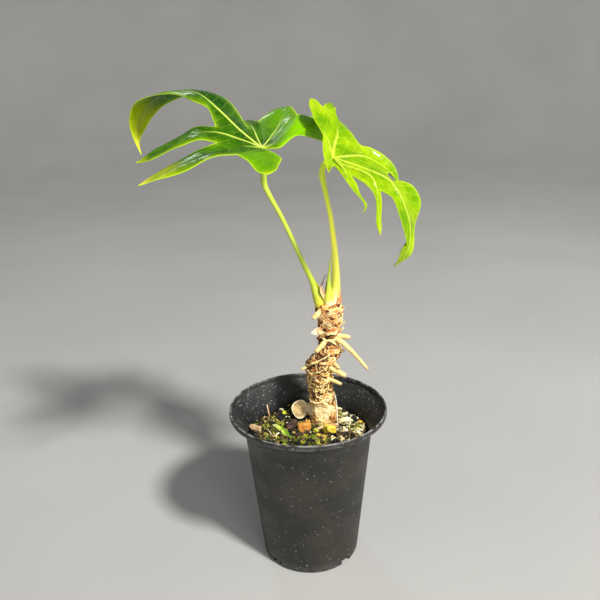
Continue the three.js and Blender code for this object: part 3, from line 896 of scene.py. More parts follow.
    def free_points(self) -> Array:
        """Points all along the free edge, in metres."""
        webs = [(), *self.webs, ()]
        rows = []
        for index, lobe in enumerate(self.lobes):
            for web, free in ((webs[index], lobe.before), (webs[index + 1], lobe.after)):
                edge = self.edge(web, free, lobe.vein[-1])
                rows.append(edge[self.rows * len(web):])
        return np.vstack(rows)

    def store_rim(self, piece: Piece) -> None:
        """Stores how far each vertex is from the free edge, in metres.

        Args:
            piece: The blade.
        """
        rim = self.free_points()
        tree = kdtree.KDTree(len(rim))
        for index, point in enumerate(rim):
            tree.insert(point, index)
        tree.balance()
        store(piece, "rim", [tree.find(point)[2] for point in coordinates(piece)])

    def build(self) -> Piece:
        """Builds, thickens and dresses the blade."""
        lobes = [self.lobe_grid(index) for index in range(len(self.lobes))]
        piece = join(self.name, lobes)
        weld(piece, recalculate=False, distance=1e-5)
        self.store_rim(piece)
        apply_modifier(piece, "SMOOTH", factor=0.5, iterations=3)
        apply_modifier(piece, "SOLIDIFY", thickness=self.full_thickness * MM, offset=0.0,
                       vertex_group="ribs", material_offset=1, use_even_offset=False)
        piece.vertex_groups.clear()
        smooth_shade(piece, 75)
        indices = np.zeros(len(piece.data.polygons), int)
        piece.data.polygons.foreach_get("material_index", indices)
        dress(piece, *(finish.material() for finish in self.finishes))
        piece.data.polygons.foreach_set("material_index", indices)
        return settle(piece, [self.node])


# ------------------------------------------------------------------ pot
@dataclass(frozen=True)
class PotFinish(Finish):
    """Charcoal moulded plastic with dust, water marks and wear, and a painted highlight along the lip.

    Args:
        dark: Darker plastic colour.
        light: Lighter plastic colour.
        dust: Colour of dust and dried splashes.
        dust_share: Share of cells with a speck in them.
        smear: How strongly the smears show.
    """

    dark: Station = (0.0075, 0.0073, 0.006)
    light: Station = (0.028, 0.025, 0.0185)
    dust: Station = (0.62, 0.63, 0.62)
    dust_share: float = 0.035
    smear: float = 0.35

    def paint(self, graph: Graph, shader: Node, place: Socket) -> None:
        """Paints dusty plastic; Finish.paint names the arguments."""
        plastic = graph.effect(Effect.MOTTLE, Place=place, Scale=26.0, Fine=0.3,
                               Dark=(*self.dark, 1), Light=(*self.light, 1))
        smears = graph.effect(Effect.SCUFFS, Place=place, Scale=24.0, Cut=0.52)
        film = graph.times(smears.outputs["Mask"], self.smear)
        colour = graph.mix(film, plastic.outputs["Color"], (0.07, 0.064, 0.055, 1))
        fine = graph.effect(Effect.SPECKS, Place=place, Scale=1000.0, Size=0.28,
                            Chance=self.dust_share * 1.2)
        coarse = graph.effect(Effect.SPECKS, Place=place, Scale=260.0, Size=0.1,
                              Chance=self.dust_share * 1.2)
        specks = graph.math("MAXIMUM", fine.outputs["Mask"], coarse.outputs["Mask"])
        colour = graph.mix(graph.times(specks, 0.7), colour, (*self.dust, 1))
        # Paler where rubbed; along the top of the lip this is also a painted highlight.
        rubbed_and_highlit = graph.times(graph.attribute("wear_and_highlight"), graph.remap(graph.noise(place, 160, 4), 0.38, 0.62))
        colour = graph.mix(graph.times(rubbed_and_highlit, 0.8), colour, (0.4, 0.41, 0.42, 1))
        gloss = graph.remap(graph.noise(place, 45, 5), 0.3, 0.7, self.roughness - 0.09,
                            self.roughness + 0.12)
        normal = graph.bump(graph.noise(place, 1300, 2), 0.00006, 0.6)
        normal = graph.bump(graph.noise(place, 22, 2), 0.0006, 0.35, normal)
        self.feed(graph, shader, Base_Color=colour, Roughness=gloss, Normal=normal)


@dataclass
class FlaredPot:
    """A deep pot with a bell mouth, a rolled lip and notches at the foot.

    Args:
        height: Full height, in millimetres as every size here.
        base_radius: Outer radius at the foot.
        body_radius: Outer radius where the bell mouth begins.
        body_top: Height where it begins.
        rim_radius: Outer radius of the lip.
        lip_height: Height of the lip's band.
        wall: Thickness of the wall.
        floor: Thickness of the floor.
        notch: Width, height and depth of the notches at the foot.
        notches: How many.
        steps: Faces round it.
        outside: Finish of the outside.
        inside: Finish of the inside.
    """

    height: float = 124.6
    base_radius: float = 37.9
    body_radius: float = 48.5
    body_top: float = 104.0
    rim_radius: float = 60.0
    lip_height: float = 4.2
    wall: float = 1.3
    floor: float = 1.8
    notch: tuple[float, float, float] = (9.0, 4.5, 8.0)
    notches: int = 4
    steps: int = 128
    outside: PotFinish = PotFinish("charcoal pot", 0.5)
    inside: PotFinish = PotFinish("dusty pot inside", 0.62, (0.008, 0.0098, 0.0104),
                                  (0.019, 0.0215, 0.022), (0.6, 0.63, 0.64), 0.13, 0.6)

    def bell(self, inset: float) -> list[Station]:
        """Draws the bell mouth.

        Args:
            inset: How far inside the outer face it runs.

        Returns:
            Its points as radius and height.
        """
        start = np.array([self.body_radius - inset, self.body_top])
        through = np.array([self.body_radius + 1.8 - inset, self.body_top + 9.5])
        end = np.array([self.rim_radius - 0.8 - inset, self.height - self.lip_height])
        shares = np.linspace(0, 1, 11)[:, None]
        curve = start * (1 - shares)**2 + 2 * through * shares * (1 - shares) + end * shares**2
        return [tuple(point) for point in curve]

    def outline(self) -> list[Station]:
        """Section of the whole wall as radius and height, from the axis out and back to it."""
        lip = self.height - self.lip_height
        body = [(self.base_radius + (self.body_radius - self.base_radius) * share,
                 1.6 + (self.body_top - 1.6) * share) for share in np.linspace(0, 1, 14)[:-1]]
        rim, top, inside = self.rim_radius, self.height, self.rim_radius - self.wall
        roll = [(rim - 0.15, lip + 0.2), (rim, lip + 0.6), (rim, top - 1.2), (rim - 0.15, top - 0.5),
                (rim - 0.5, top - 0.1), (rim - 0.8, top), (rim - 1.1, top - 0.1), (inside - 0.3, top - 0.6),
                (inside - 0.8, top - 1.6)]
        inner_base = self.base_radius - self.wall
        inner_body = self.body_radius - self.wall
        inner = [(inner_base + (inner_body - inner_base) * share,
                  self.floor + (self.body_top - self.floor) * share)
                 for share in np.linspace(1, 0, 10)[1:]]
        foot = [(0.01, 0), (self.base_radius - 5, 0), (self.base_radius - 1.6, 0),
                (self.base_radius - 0.5, 0.5)]
        return [*foot, *body, *self.bell(0), *roll, *reversed(self.bell(self.wall)), *inner,
                (0.01, self.floor)]

    def turned(self) -> Piece:
        """Spins the outline about the pot's axis."""
        outline = [(r * MM, z * MM) for r, z in self.outline()]
        deselect()
        bpy.ops.mesh.primitive_plane_add(size=0.01)
        piece = bpy.context.object
        piece.name = "flared_pot"
        with editing(piece):
            bpy.ops.mesh.merge(type="CENTER")
            for _ in outline[1:]:
                bpy.ops.mesh.extrude_region_move(TRANSFORM_OT_translate={"value": (0.001, 0, 0)})
        order = np.argsort(coordinates(piece)[:, 0])
        points = np.zeros((len(outline), 3))
        for (radius, height), vertex in zip(outline, order):
            points[vertex] = (radius, 0, height)
        set_coordinates(piece, points)
        with editing(piece):
            bpy.ops.mesh.spin(steps=self.steps, angle=FULL_TURN, center=(0, 0, 0), axis=(0, 0, 1))
        weld(piece, distance=3e-5)
        return piece

    def notch_cutter(self, index: int) -> Piece:
        """Makes a rounded block that cuts one notch.

        Args:
            index: Which notch.

        Returns:
            The block.
        """
        width, height, depth = (size * MM for size in self.notch)
        turn = (index + 0.5) / self.notches * FULL_TURN
        deselect()
        bpy.ops.mesh.primitive_cube_add(size=1)
        block = bpy.context.object
        block.name = f"notch_{index}"
        corners = coordinates(block) * (depth, width, 2 * height) + (self.base_radius * MM, 0, 0)
        turned = np.array(Matrix.Rotation(turn, 3, "Z"))
        set_coordinates(block, corners @ turned.T)
        apply_modifier(block, "BEVEL", width=0.0009, segments=3)
        return block

    def build(self) -> Piece:
        """Builds and dresses the pot."""
        piece = self.turned()
        for index in range(self.notches):
            cutter = self.notch_cutter(index)
            apply_modifier(piece, "BOOLEAN", operation="DIFFERENCE", object=cutter, solver="EXACT")
            bpy.data.objects.remove(cutter, do_unlink=True)
        points = coordinates(piece)
        radius = np.hypot(points[:, 0], points[:, 1])
        lip = smooth_step(points[:, 2], (self.height - 0.9) * MM, (self.height - 0.1) * MM)
        band = self.height - self.lip_height
        brow = smooth_step(points[:, 2], (band - 0.4) * MM, (band + 0.4) * MM)
        brow = brow * (1 - smooth_step(points[:, 2], (band + 0.5) * MM, (band + 1.2) * MM))
        foot = 1 - smooth_step(points[:, 2], 0.0006, 0.0022)
        outer = smooth_step(radius, (self.base_radius - 3) * MM, (self.base_radius - 1) * MM)
        # The lip's share is wear lightened further as a painted highlight; the band's and the foot's shares
        # are wear.
        wear_and_highlight = np.clip(0.8 * lip + 0.25 * brow * outer + 0.4 * foot * outer, 0, 1)
        store(piece, "wear_and_highlight", wear_and_highlight)
        self.sort_faces(piece)
        smooth_shade(piece, 35)
        return settle(piece, ["pot"])

    def sort_faces(self, piece: Piece) -> None:
        """Gives the outside and the inside their own finishes.

        Args:
            piece: The pot.
        """
        dress(piece, self.outside.material(), self.inside.material())
        for polygon in piece.data.polygons:
            centre = polygon.center
            outward = centre.x * polygon.normal.x + centre.y * polygon.normal.y
            inner = outward < 0 or (polygon.normal.z > 0.9 and centre.z < 0.01)
            polygon.material_index = 1 if inner else 0


# ------------------------------------------------------------------ many small copies
@dataclass
class Batch:
    """Many small closed shapes gathered into one piece.

    Args:
        name: Name of the piece.
    """

    name: str

    def __post_init__(self) -> None:
        """Starts empty."""
        self.total = 0
        self.points: list[Array] = []
        self.faces: list[tuple[int, ...]] = []
        self.tones: list[float] = []

    def add(self, points: Array, faces: Iterable[Sequence[int]], tone: float | Array) -> None:
        """Adds one shape.

        Args:
            points: Its points, in metres.
            faces: Corners of each of its faces.
            tone: Its tone from 0 to 1, or one tone for each point.
        """
        start = self.total
        self.points.append(points)
        self.total += len(points)
        self.faces.extend(tuple(start + corner for corner in face) for face in faces)
        self.tones.extend(np.broadcast_to(tone, len(points)).tolist())

    def add_strand(self, path: Array, radius: float, tone: float, sides: int = 5,
                   flat: float = 1.0) -> None:
        """Adds a strand that tapers at both ends.

        Args:
            path: Its points, in metres.
            radius: Its radius in the middle, in metres.
            tone: Its tone.
            sides: Faces round it.
            flat: Its thickness as a share of its width.
        """
        count = len(path)
        _, across, third = sweep_frames(path, (0.3, 0.2, 1.0))
        turns = np.arange(sides) / sides * FULL_TURN
        taper = radius * np.clip(np.sin(np.linspace(0.06, math.pi - 0.06, count)) * 1.6, 0.1, 1)
        ring = (across[:, None] * np.cos(turns)[None, :, None] * flat
                + third[:, None] * np.sin(turns)[None, :, None])
        points = path[:, None] + ring * taper[:, None, None]
        faces: list[tuple[int, ...]] = [tuple(range(sides))[::-1],
                                        tuple(range((count - 1) * sides, count * sides))]
        for row in range(count - 1):
            for side in range(sides):
                a, b = row * sides + side, row * sides + (side + 1) % sides
                faces.append((a, b, b + sides, a + sides))
        self.add(points.reshape(-1, 3), faces, tone)

    def build(self, smooth: bool = True) -> Piece:
        """Builds the piece, with every tone stored on it.

        Args:
            smooth: True for rounded shading.

        Returns:
            The piece.
        """
        mesh = bpy.data.meshes.new(self.name)
        mesh.from_pydata(np.vstack(self.points).tolist(), [], self.faces)
        piece = bpy.data.objects.new(self.name, mesh)
        bpy.context.collection.objects.link(piece)
        store(piece, "tone", np.array(self.tones))
        with editing(piece):
            bpy.ops.mesh.normals_make_consistent(inside=False)
        if smooth:
            smooth_shade(piece, 50)
        return piece


def lump_template(seed: int, rough: float, sides: int = 2, chip: bool = False) -> tuple[Array, list]:
    """One small lump or chip about the origin, one unit across, to be copied.

    Args:
        seed: Picks the shape.
        rough: How uneven it is.
        sides: Subdivisions of the ball it starts from.
        chip: True for a flat-sided chip.

    Returns:
        Its points and its faces.
    """
    deselect()
    if chip:
        bpy.ops.mesh.primitive_cube_add(size=1)
        lump = bpy.context.object
        with editing(lump):
            bpy.ops.mesh.subdivide(number_cuts=1)
    else:
        bpy.ops.mesh.primitive_ico_sphere_add(subdivisions=sides, radius=0.5)
        lump = bpy.context.object
    draw = random.Random(seed)
    points = coordinates(lump)
    shift = Vector((seed * 1.7, seed * 0.9, seed * 2.3))
    grow = np.array([1 + rough * noise.noise(Vector(p) * 2.6 + shift) for p in points])
    jitter = np.array([[draw.uniform(-1, 1) for _ in range(3)] for _ in points])
    points = points * grow[:, None] + jitter * 0.12 * rough
    faces = [tuple(polygon.vertices) for polygon in lump.data.polygons]
    bpy.data.objects.remove(lump, do_unlink=True)
    return points, faces


def slab_faces(columns: int, rows: int) -> list[tuple[int, ...]]:
    """Lists the faces of a thin slab whose front and back are two equal grids.

    Args:
        columns: Faces along a row.
        rows: How many rows.

    Returns:
        The corners of each face: front, back and rim.
    """
    wide = columns + 1
    count = wide * (rows + 1)
    faces: list[tuple[int, ...]] = []
    for row in range(rows):
        for column in range(columns):
            a = row * wide + column
            d = a + wide
            faces.append((a, a + 1, d + 1, d))
            faces.append((count + d, count + d + 1, count + a + 1, count + a))
    rim = list(range(wide))
    rim += [(row + 1) * wide - 1 for row in range(1, rows + 1)]
    rim += [rows * wide + column for column in range(columns - 1, -1, -1)]
    rim += [row * wide for row in range(rows - 1, 0, -1)]
    return faces + [(b, a, count + a, count + b) for a, b in zip(rim, rim[1:] + rim[:1])]


def turned(points: Array, draw: random.Random) -> Array:
    """Turns points any way about the origin.

    Args:
        points: The points.
        draw: Where the turns come from.

    Returns:
        The turned points.
    """
    spin = np.array(Matrix.Rotation(draw.uniform(0, 6.28), 3, "Z")
                    @ Matrix.Rotation(draw.gauss(0, 0.5), 3, "X")
                    @ Matrix.Rotation(draw.gauss(0, 0.5), 3, "Y"))
    return points @ spin.T


# ------------------------------------------------------------------ finishes of what grows
@dataclass(frozen=True)
class GrownFinish(Finish):
    """Skin whose colour runs with the stored tone, broken by fine grain.

    Args:
        stops: Colours at tones from 0 to 1.
        grain: Colour of the grain.
        grain_share: Strength of the grain, from 0 to 1.
        scale: Grain cells to the metre.
        depth: Height of the grain, in metres.
        stretch: Scale of the grain along each direction.
        sheen: Gloss of a coat over it.
        soft: How much light it lets through.
    """

    stops: tuple[tuple[float, Station], ...] = ((0.0, (0.1, 0.05, 0.02)), (1.0, (0.6, 0.4, 0.2)))
    grain: Station = (0.12, 0.05, 0.02)
    grain_share: float = 0.35
    scale: float = 700.0
    depth: float = 0.0002
    stretch: Station = (1.0, 1.0, 0.25)
    sheen: float = 0.0
    soft: float = 0.0

    def paint(self, graph: Graph, shader: Node, place: Socket) -> None:
        """Paints grained skin; Finish.paint names the arguments."""
        strained = graph.stretched(place, self.stretch)
        tone = graph.attribute("tone")
        stir = graph.times(graph.math("SUBTRACT", graph.noise(place, 260, 3), 0.5), 0.3)
        colour = graph.ramp(graph.math("ADD", tone, stir, clamp=True), *self.stops)
        streak = graph.effect(Effect.FIBRES, Place=strained, Scale=self.scale, Length=1.0)
        marks = graph.times(streak.outputs["Value"], self.grain_share)
        colour = graph.mix(marks, colour, (*self.grain, 1))
        normal = graph.bump(streak.outputs["Value"], self.depth, 0.7)
        gloss = graph.remap(streak.outputs["Value"], 0.0, 1.0, self.roughness - 0.08,
                            self.roughness + 0.08)
        if self.soft:
            self.feed(graph, shader, Subsurface_Weight=self.soft, Subsurface_Scale=0.002)
        if self.sheen:
            self.feed(graph, shader, Coat_Weight=self.sheen, Coat_Roughness=0.3)
        self.feed(graph, shader, Base_Color=colour, Normal=normal, Roughness=gloss)


ROOT_SKIN = GrownFinish(
    "cream root skin", 0.6,
    ((0.0, (0.5, 0.24, 0.07)), (0.15, (0.85, 0.58, 0.2)), (0.4, (1.0, 0.8, 0.34)),
     (0.7, (0.88, 0.6, 0.2)), (0.92, (0.95, 0.72, 0.32)), (1.0, (0.7, 0.46, 0.2))),
    (0.5, 0.28, 0.09), 0.3, 600.0, 0.00018, (1.0, 1.0, 0.4), soft=0.05)


@dataclass(frozen=True)
class StemFinish(Finish):
    """Old stem skin: pale winding crests over dark hollows whose dark is partly painted shade; redder at
    the crown.
    """

    def paint(self, graph: Graph, shader: Node, place: Socket) -> None:
        """Paints old stem skin; Finish.paint names the arguments."""
        height = graph.node("SeparateXYZ", {0: place}).outputs[2]
        stir = graph.math("SUBTRACT", graph.noise(place, 450, 4), 0.5)
        tone = graph.math("ADD", graph.attribute("tone"), graph.times(stir, 0.5), clamp=True)
        skin = graph.ramp(tone, (0.0, (0.02, 0.006, 0.003)), (0.24, (0.09, 0.022, 0.01)),
                          (0.42, (0.5, 0.18, 0.05)), (0.66, (0.92, 0.6, 0.2)),
                          (1.0, (1.0, 0.88, 0.52)))
        crown = graph.remap(height, 0.180, 0.188, 0.0, 0.8)
        skin = graph.mix(crown, skin, (1.0, 0.72, 0.5, 1), "MULTIPLY")
        green = graph.effect(Effect.SPECKS, Place=place, Scale=190.0, Size=0.42, Chance=0.12)
        skin = graph.mix(graph.times(green.outputs["Mask"], 0.6), skin, (0.12, 0.16, 0.02, 1))
        grain = graph.remap(graph.noise(place, 420, 4), 0.4, 0.68)
        cut = graph.mix(grain, (1.0, 0.9, 0.52, 1), (0.86, 0.56, 0.2, 1))
        skin = graph.mix(graph.attribute("plate"), skin, cut)
        normal = graph.bump(graph.noise(place, 900, 4), 0.0004, 0.9)
        self.feed(graph, shader, Base_Color=skin, Normal=normal)


# ------------------------------------------------------------------ stem
@dataclass
class Stem:
    """The bare stem: a knobby core under fibres, flakes and dry leaf bases.

    Args:
        stations: Centre line and radius from the buried foot to the crown, in millimetres.
        scars: Heights of the leaf scars, in millimetres.
        plate: Turn in degrees and height of the smooth scar at the front, and its two half sizes.
        cords: Thick strands: turn and height of both ends, sag, tone and radius. The near black ones, laid
            flat beside pale ones, are painted shadow lines.
        columns: Faces round it.
        step: Length of a face along it, in millimetres.
        band: Lowest and highest level of the tangle of fibres, in metres.
        crown: Highest level of the flakes, in metres.
        tangled: How many tangled fibres.
        low_rootlets: How many rootlets near the soil.
        high_rootlets: How many further up.
        scraps: How many flakes.
    """

    stations: Sequence[Station] = (
        (13, 20, 64, 5), (13, 19, 74, 7.5), (14, 18, 88, 8.5), (13.6, 17, 101, 9.2),
        (12.9, 16.5, 107, 9.6), (12.2, 16, 117, 9.5), (11, 15.5, 126, 8.7), (11, 15, 133, 8.4),
        (10, 14.5, 143, 8.9), (10.6, 14, 151, 9.8), (13.6, 13.5, 157.5, 10), (17.4, 13, 164, 7.9),
        (17.2, 12.5, 173, 6.6), (17.8, 12, 182, 6.9), (18.2, 11.5, 190, 7.8), (17.7, 11, 199, 8.8),
        (17.5, 11, 203, 8.1))
    scars: Sequence[float] = (122, 127.5, 133, 139, 145, 151, 157, 163, 168.5, 174, 180, 186.5, 192,
                              197.5)
    plate: Station = (-97.0, 113.0, 9.2, 7.4)
    cords: Sequence[Station] = (
        (-190, 149, -20, 149, 12, 0.9, 0.65), (-150, 144, -30, 145, 13, 0.8, 0.6),
        (-180, 140, -60, 141, 8, 0.95, 0.6), (-135, 158, -5, 157, 9, 0.8, 0.6),
        (-5, 150, 155, 149, 10, 0.9, 0.6), (90, 140, 230, 141, 9, 0.85, 0.6),
        (-65, 147, 85, 145, 10, 0.85, 0.6), (-140, 135, -50, 133, 7, 0.9, 0.6),
        (-130, 171, -20, 169, 5, 0.8, 0.55), (-158, 182, -38, 184, 2, 1.0, 0.95),
        (-160, 179.7, -38, 181.4, 2, 0.0, 0.8), (-150, 178, -38, 177, 2.6, 1.0, 0.9),
        (-150, 175.3, -38, 174, 2.4, 0.0, 0.9), (-155, 156, -72, 169, 0, 0.0, 0.9),
        (-152, 154.3, -78, 166.6, 0, 0.95, 0.6), (-150, 152.4, -80, 163.6, 0, 0.05, 0.8),
        (-38, 199, -52, 191, 0, 0.0, 0.75), (-22, 197, -18, 188, 0, 1.0, 0.8),
        (-112, 201.6, -20, 201.8, 0.8, 0.8, 0.7), (-125, 199.4, -32, 199.8, 0.8, 0.2, 0.5),
        (-150, 198, -70, 192, 0, 0.1, 0.5), (-120, 188, -60, 192, 1, 0.15, 0.5),
        (-92, 199, -60, 186, 0.6, 0.1, 0.6), (-140, 190, -60, 187.5, 2, 0.1, 0.6),
        (-110, 196, -30, 193.5, 1, 0.1, 0.45), (-130, 193, -80, 186, 0, 0.9, 0.5),
        (60, 183, 170, 180, 1, 1.0, 0.8), (60, 180.6, 170, 177.8, 1, 0.0, 0.7),
        (100, 198, 170, 191, 0, 0.05, 0.6))
    columns: int = 150
    step: float = 0.42
    band: tuple[float, float] = (0.115, 0.184)
    crown: float = 0.2025
    tangled: int = 190
    low_rootlets: int = 150
    high_rootlets: int = 80
    scraps: int = 240

    def __post_init__(self) -> None:
        """Tables the centre line."""
        at = np.linspace(0, len(self.stations) - 1, 400)
        self.table = catmull_rom(self.stations, at) * MM

    def centre(self, height: Array) -> tuple[Array, Array]:
        """Finds the centre line.

        Args:
            height: Heights, in metres.

        Returns:
            The centre points and the radii there.
        """
        column = [np.interp(height, self.table[:, 2], self.table[:, k]) for k in (0, 1, 3)]
        return np.column_stack([column[0], column[1], np.asarray(height, float)]), column[2]

    def on_plate(self, turn: Array, height: Array, spread: float = 1.0) -> Array:
        """Tells where the smooth scar at the front is.

        Args:
            turn: Turns about the stem.
            height: Heights, in metres.
            spread: Size of the scar as a share of its own.

        Returns:
            1 on the scar, 0 off it.
        """
        middle, level, half_width, half_height = self.plate
        _, radius = self.centre(height)
        aside = (np.mod(turn - math.radians(middle) + math.pi, FULL_TURN) - math.pi) * radius
        up = (height - level * MM) / (half_height * MM)
        away = np.hypot(np.abs(aside) / (half_width * MM * (1 + 0.25 * np.clip(up, -1, 1))), up)
        return 1 - smooth_step(away + 0.1 * np.sin(9 * turn + 2 * up), 0.72 * spread, 1.15 * spread)

    def relief(self, turn: Array, height: Array) -> tuple[Array, Array]:
        """Shapes the skin.

        Args:
            turn: Turns about the stem.
            height: Heights, in metres.

        Returns:
            How far the skin stands out from the plain radius, in metres, and its tone.
        """
        level = height + 0.0012 * np.sin(turn + height * 900)
        edges = np.array([0.09, *(scar * MM for scar in self.scars), 0.215])
        span = np.clip(np.searchsorted(edges, level) - 1, 0, len(edges) - 2)
        share = (level - edges[span]) / (edges[span + 1] - edges[span])
        ring = (1 - share)**1.5 * smooth_step(share, 0, 0.12) * smooth_step(height, 0.117, 0.122)
        spots = round_about(turn, 0.0095, height)
        crest = np.maximum(ridges(spots * (1, 1, 1.35), 82, 2), 0.8 * ridges(spots, 185, 5))
        calm = 1 - 0.5 * smooth_step(height, 0.184, 0.190)
        stand = 0.001 * ring + (0.0024 * crest - 0.0014) * calm
        # Colour: pale on the crests, dark red brown in the hollows, partly its own colour and partly
        # painted shade; paler below 124 mm; lifted round the plate as painted light against the shade at
        # its edges.
        tone = 0.02 + 0.8 * crest**1.3 + 0.25 * ring * (1 - crest)
        tone = tone + 0.22 * (1 - smooth_step(height, 0.124, 0.134))
        tone = np.maximum(tone, 0.62 * self.on_plate(turn, height, 1.35))
        flat = self.on_plate(turn, height)
        aside = np.cos(turn - math.radians(self.plate[0]))
        facet = self.centre(height)[1] * (0.84 / np.clip(aside, 0.84, 1) - 1)
        grain = 0.0004 * field_noise(spots, 330, 3) + 0.0004
        return stand * (1 - flat) + (grain + facet) * flat, tone

    def surface(self, turn: Array, height: Array, lift: float | Array = 0.0) -> Array:
        """Finds points on the skin.

        Args:
            turn: Turns about the stem.
            height: Heights, in metres.
            lift: How far above the skin, in metres.

        Returns:
            One point for each turn.
        """
        centre, radius = self.centre(height)
        reach = radius + self.relief(turn, height)[0] + lift
        return centre + round_about(turn, 1, np.zeros(len(turn))) * np.asarray(reach)[:, None]

    def core(self) -> Piece:
        """Builds the core."""
        low, high = self.stations[0][2] * MM, self.stations[-1][2] * MM
        count = int((high - low) / (self.step * MM))
        levels = np.concatenate([[low] * 2, np.linspace(low, high, count), [high] * 3])
        shares = np.concatenate([[0, 0.6], np.ones(count), [0.8, 0.45, 0]])
        domes = np.concatenate([[-0.002, -0.001], np.zeros(count), [0.0004, 0.0007, 0.0008]])

        def place(column: Array, row: Array) -> Placed:
            turn = column / self.columns * FULL_TURN
            height = levels[row]
            points = self.surface(turn, height)
            centre, _ = self.centre(height)
            points = centre + (points - centre) * shares[row][:, None]
            points[:, 2] += domes[row]
            return points, {"tone": self.relief(turn, height)[1], "plate": self.on_plate(turn, height)}

        piece = shaped_grid("stem_core", self.columns, len(levels) - 1, place)
        weld(piece)
        smooth_shade(piece, 80)
        return settle(piece, ["stem"], StemFinish("knobby stem skin", 0.75).material())

    def tangle(self, draw: random.Random, batch: Batch) -> None:
        """Adds the many fibres that hug the stem at any slant.

        Args:
            draw: Where the draws come from.
            batch: What they are added to.
        """
        for _ in range(self.tangled):
            height = draw.triangular(116, 183, 148) * MM
            start = draw.uniform(-math.pi, math.pi)
            sweep = draw.choice((-1, 1)) * draw.uniform(0.5, 2.1)
            sag = draw.gauss(0, 3.0) * MM - (4.5 * MM if draw.random() < 0.35 else 0)
            rise = draw.gauss(0, 4.0) * MM
            share = np.linspace(0, 1, 11)
            level = height + rise * (share - 0.5) + sag * np.sin(math.pi * share)
            lift = (0.1 + draw.random() * 1.1 * np.sin(math.pi * share)) * MM
            radius = (0.34 + 0.5 * draw.random()**1.6) * MM
            # Over half the strands are near black and lie close to the skin: painted shade standing for the
            # gaps between the pale strands.
            tone = draw.uniform(0.0, 0.25) if draw.random() < 0.55 else draw.uniform(0.4, 1.0)
            if tone < 0.3:
                lift = lift * 0.4
            path = self.surface(start + sweep * share, np.clip(level, *self.band), lift)
            batch.add_strand(path, radius, tone)

    def bind(self, batch: Batch) -> None:
        """Adds the thick strands that are listed one by one.

        Args:
            batch: What they are added to.
        """
        share = np.linspace(0, 1, 25)
        for first, low, last, high, sag, tone, radius in self.cords:
            turn = np.radians(first + (last - first) * share + 3 * np.sin(19 * share))
            level = low + (high - low) * share - sag * np.sin(math.pi * share)
            level = level + 0.35 * np.sin(23 * share + low)
            # Pale cords stand off the skin; the near black ones lie flat in it as painted shadow lines.
            path = self.surface(turn, level * MM, 0.0011 if tone > 0.3 else 0.0)
            batch.add_strand(path, radius * MM, tone, 7)

    def rootlets(self, draw: random.Random, batch: Batch) -> None:
        """Adds short rootlets that stand off the skin, most of them near the soil.

        Args:
            draw: Where the draws come from.
            batch: What they are added to.
        """
        share = np.linspace(0, 1, 7)
        for low, high in [(98, 108)] * self.low_rootlets + [(122, 186)] * self.high_rootlets:
            height = draw.uniform(low, high) * MM
            start = draw.uniform(-math.pi, math.pi)
            length = draw.uniform(2.0, 6.0) * MM
            turn = start + draw.gauss(0, 0.35) * share
            level = height + draw.gauss(-0.3, 0.6) * length * share
            lift = length * share**1.4 * draw.uniform(0.15, 0.7) + 0.0001
            path = self.surface(turn, level, lift)
            batch.add_strand(path, draw.uniform(0.16, 0.45) * MM, draw.uniform(0.3, 1.0))

    def fibres(self) -> Piece:
        """Builds everything stringy on the stem as one piece."""
        draw = random.Random(41)
        batch = Batch("stem_fibres")
        self.tangle(draw, batch)
        self.bind(batch)
        self.rootlets(draw, batch)
        piece = batch.build()
        return settle(piece, (), FIBRE_SKIN.material())

    def flake_front(self, draw: random.Random, columns: int, rows: int) -> Array:
        """Draws the outer face of one curled flake.

        Args:
            draw: Where the draws come from.
            columns: Faces across it.
            rows: Faces up it.

        Returns:
            Its points in metres, row by row from its foot.
        """
        scar = draw.triangular(119, 201, 180) * MM
        middle = draw.uniform(-math.pi, math.pi)
        width = draw.uniform(0.12, 0.5)
        tall = draw.uniform(1.6, 5.4) * MM
        flare = draw.uniform(0.0, 1.5) * MM
        lean = draw.gauss(0, 0.3)
        side = np.linspace(-1, 1, columns + 1)
        grid = []
        for up in np.arange(rows + 1) / rows:
            turn = middle + lean * up + width * (1 - 0.55 * up * up) * side
            level = scar + tall * up * (1 - 0.3 * side**2)
            lift = 0.0001 + flare * up**1.5 + 0.0004 * np.sin(7 * turn + 11 * up)
            grid.append(self.surface(turn, np.minimum(level, self.crown), lift))
        return np.vstack(grid)

    def flakes(self) -> Piece:
        """Builds small curled scraps of dry skin that stand off the scars."""
        draw = random.Random(77)
        batch = Batch("dry_flakes")
        columns, rows = 5, 4
        rise = np.tile(np.repeat(np.arange(rows + 1) / rows, columns + 1), 2)
        for _ in range(self.scraps):
            front = self.flake_front(draw, columns, rows)
            inward = unit((self.centre(front[:, 2])[0] - front) * (1, 1, 0))
            # Darker at its foot and paler towards its free edge: painted shade where it meets the stem,
            # painted light along the edge.
            tone = draw.choice((0.12, 0.45, 0.7, 0.95)) + draw.uniform(-0.12, 0.12)
            batch.add(np.vstack([front, front + inward * 0.00018]), slab_faces(columns, rows),
                      np.clip(tone + 0.7 * (rise - 0.6), 0, 1))
        piece = batch.build()
        return settle(piece, (), SHEATH_SKIN.material())


FIBRE_SKIN = GrownFinish(
    "root fibres", 0.7,
    ((0.0, (0.04, 0.012, 0.006)), (0.25, (0.16, 0.05, 0.018)), (0.5, (0.56, 0.3, 0.08)),
     (0.75, (0.92, 0.64, 0.2)), (1.0, (1.0, 0.9, 0.44))),
    (0.3, 0.14, 0.05), 0.3, 900.0, 0.0001)
SHEATH_SKIN = GrownFinish(
    "papery sheath", 0.62,
    ((0.0, (0.05, 0.012, 0.005)), (0.18, (0.4, 0.12, 0.035)), (0.36, (0.82, 0.33, 0.09)),
     (0.6, (0.98, 0.5, 0.17)), (0.82, (1.0, 0.7, 0.29)), (1.0, (1.0, 0.88, 0.5))),
    (0.3, 0.1, 0.04), 0.3, 800.0, 0.00025, (1.0, 1.0, 0.35))


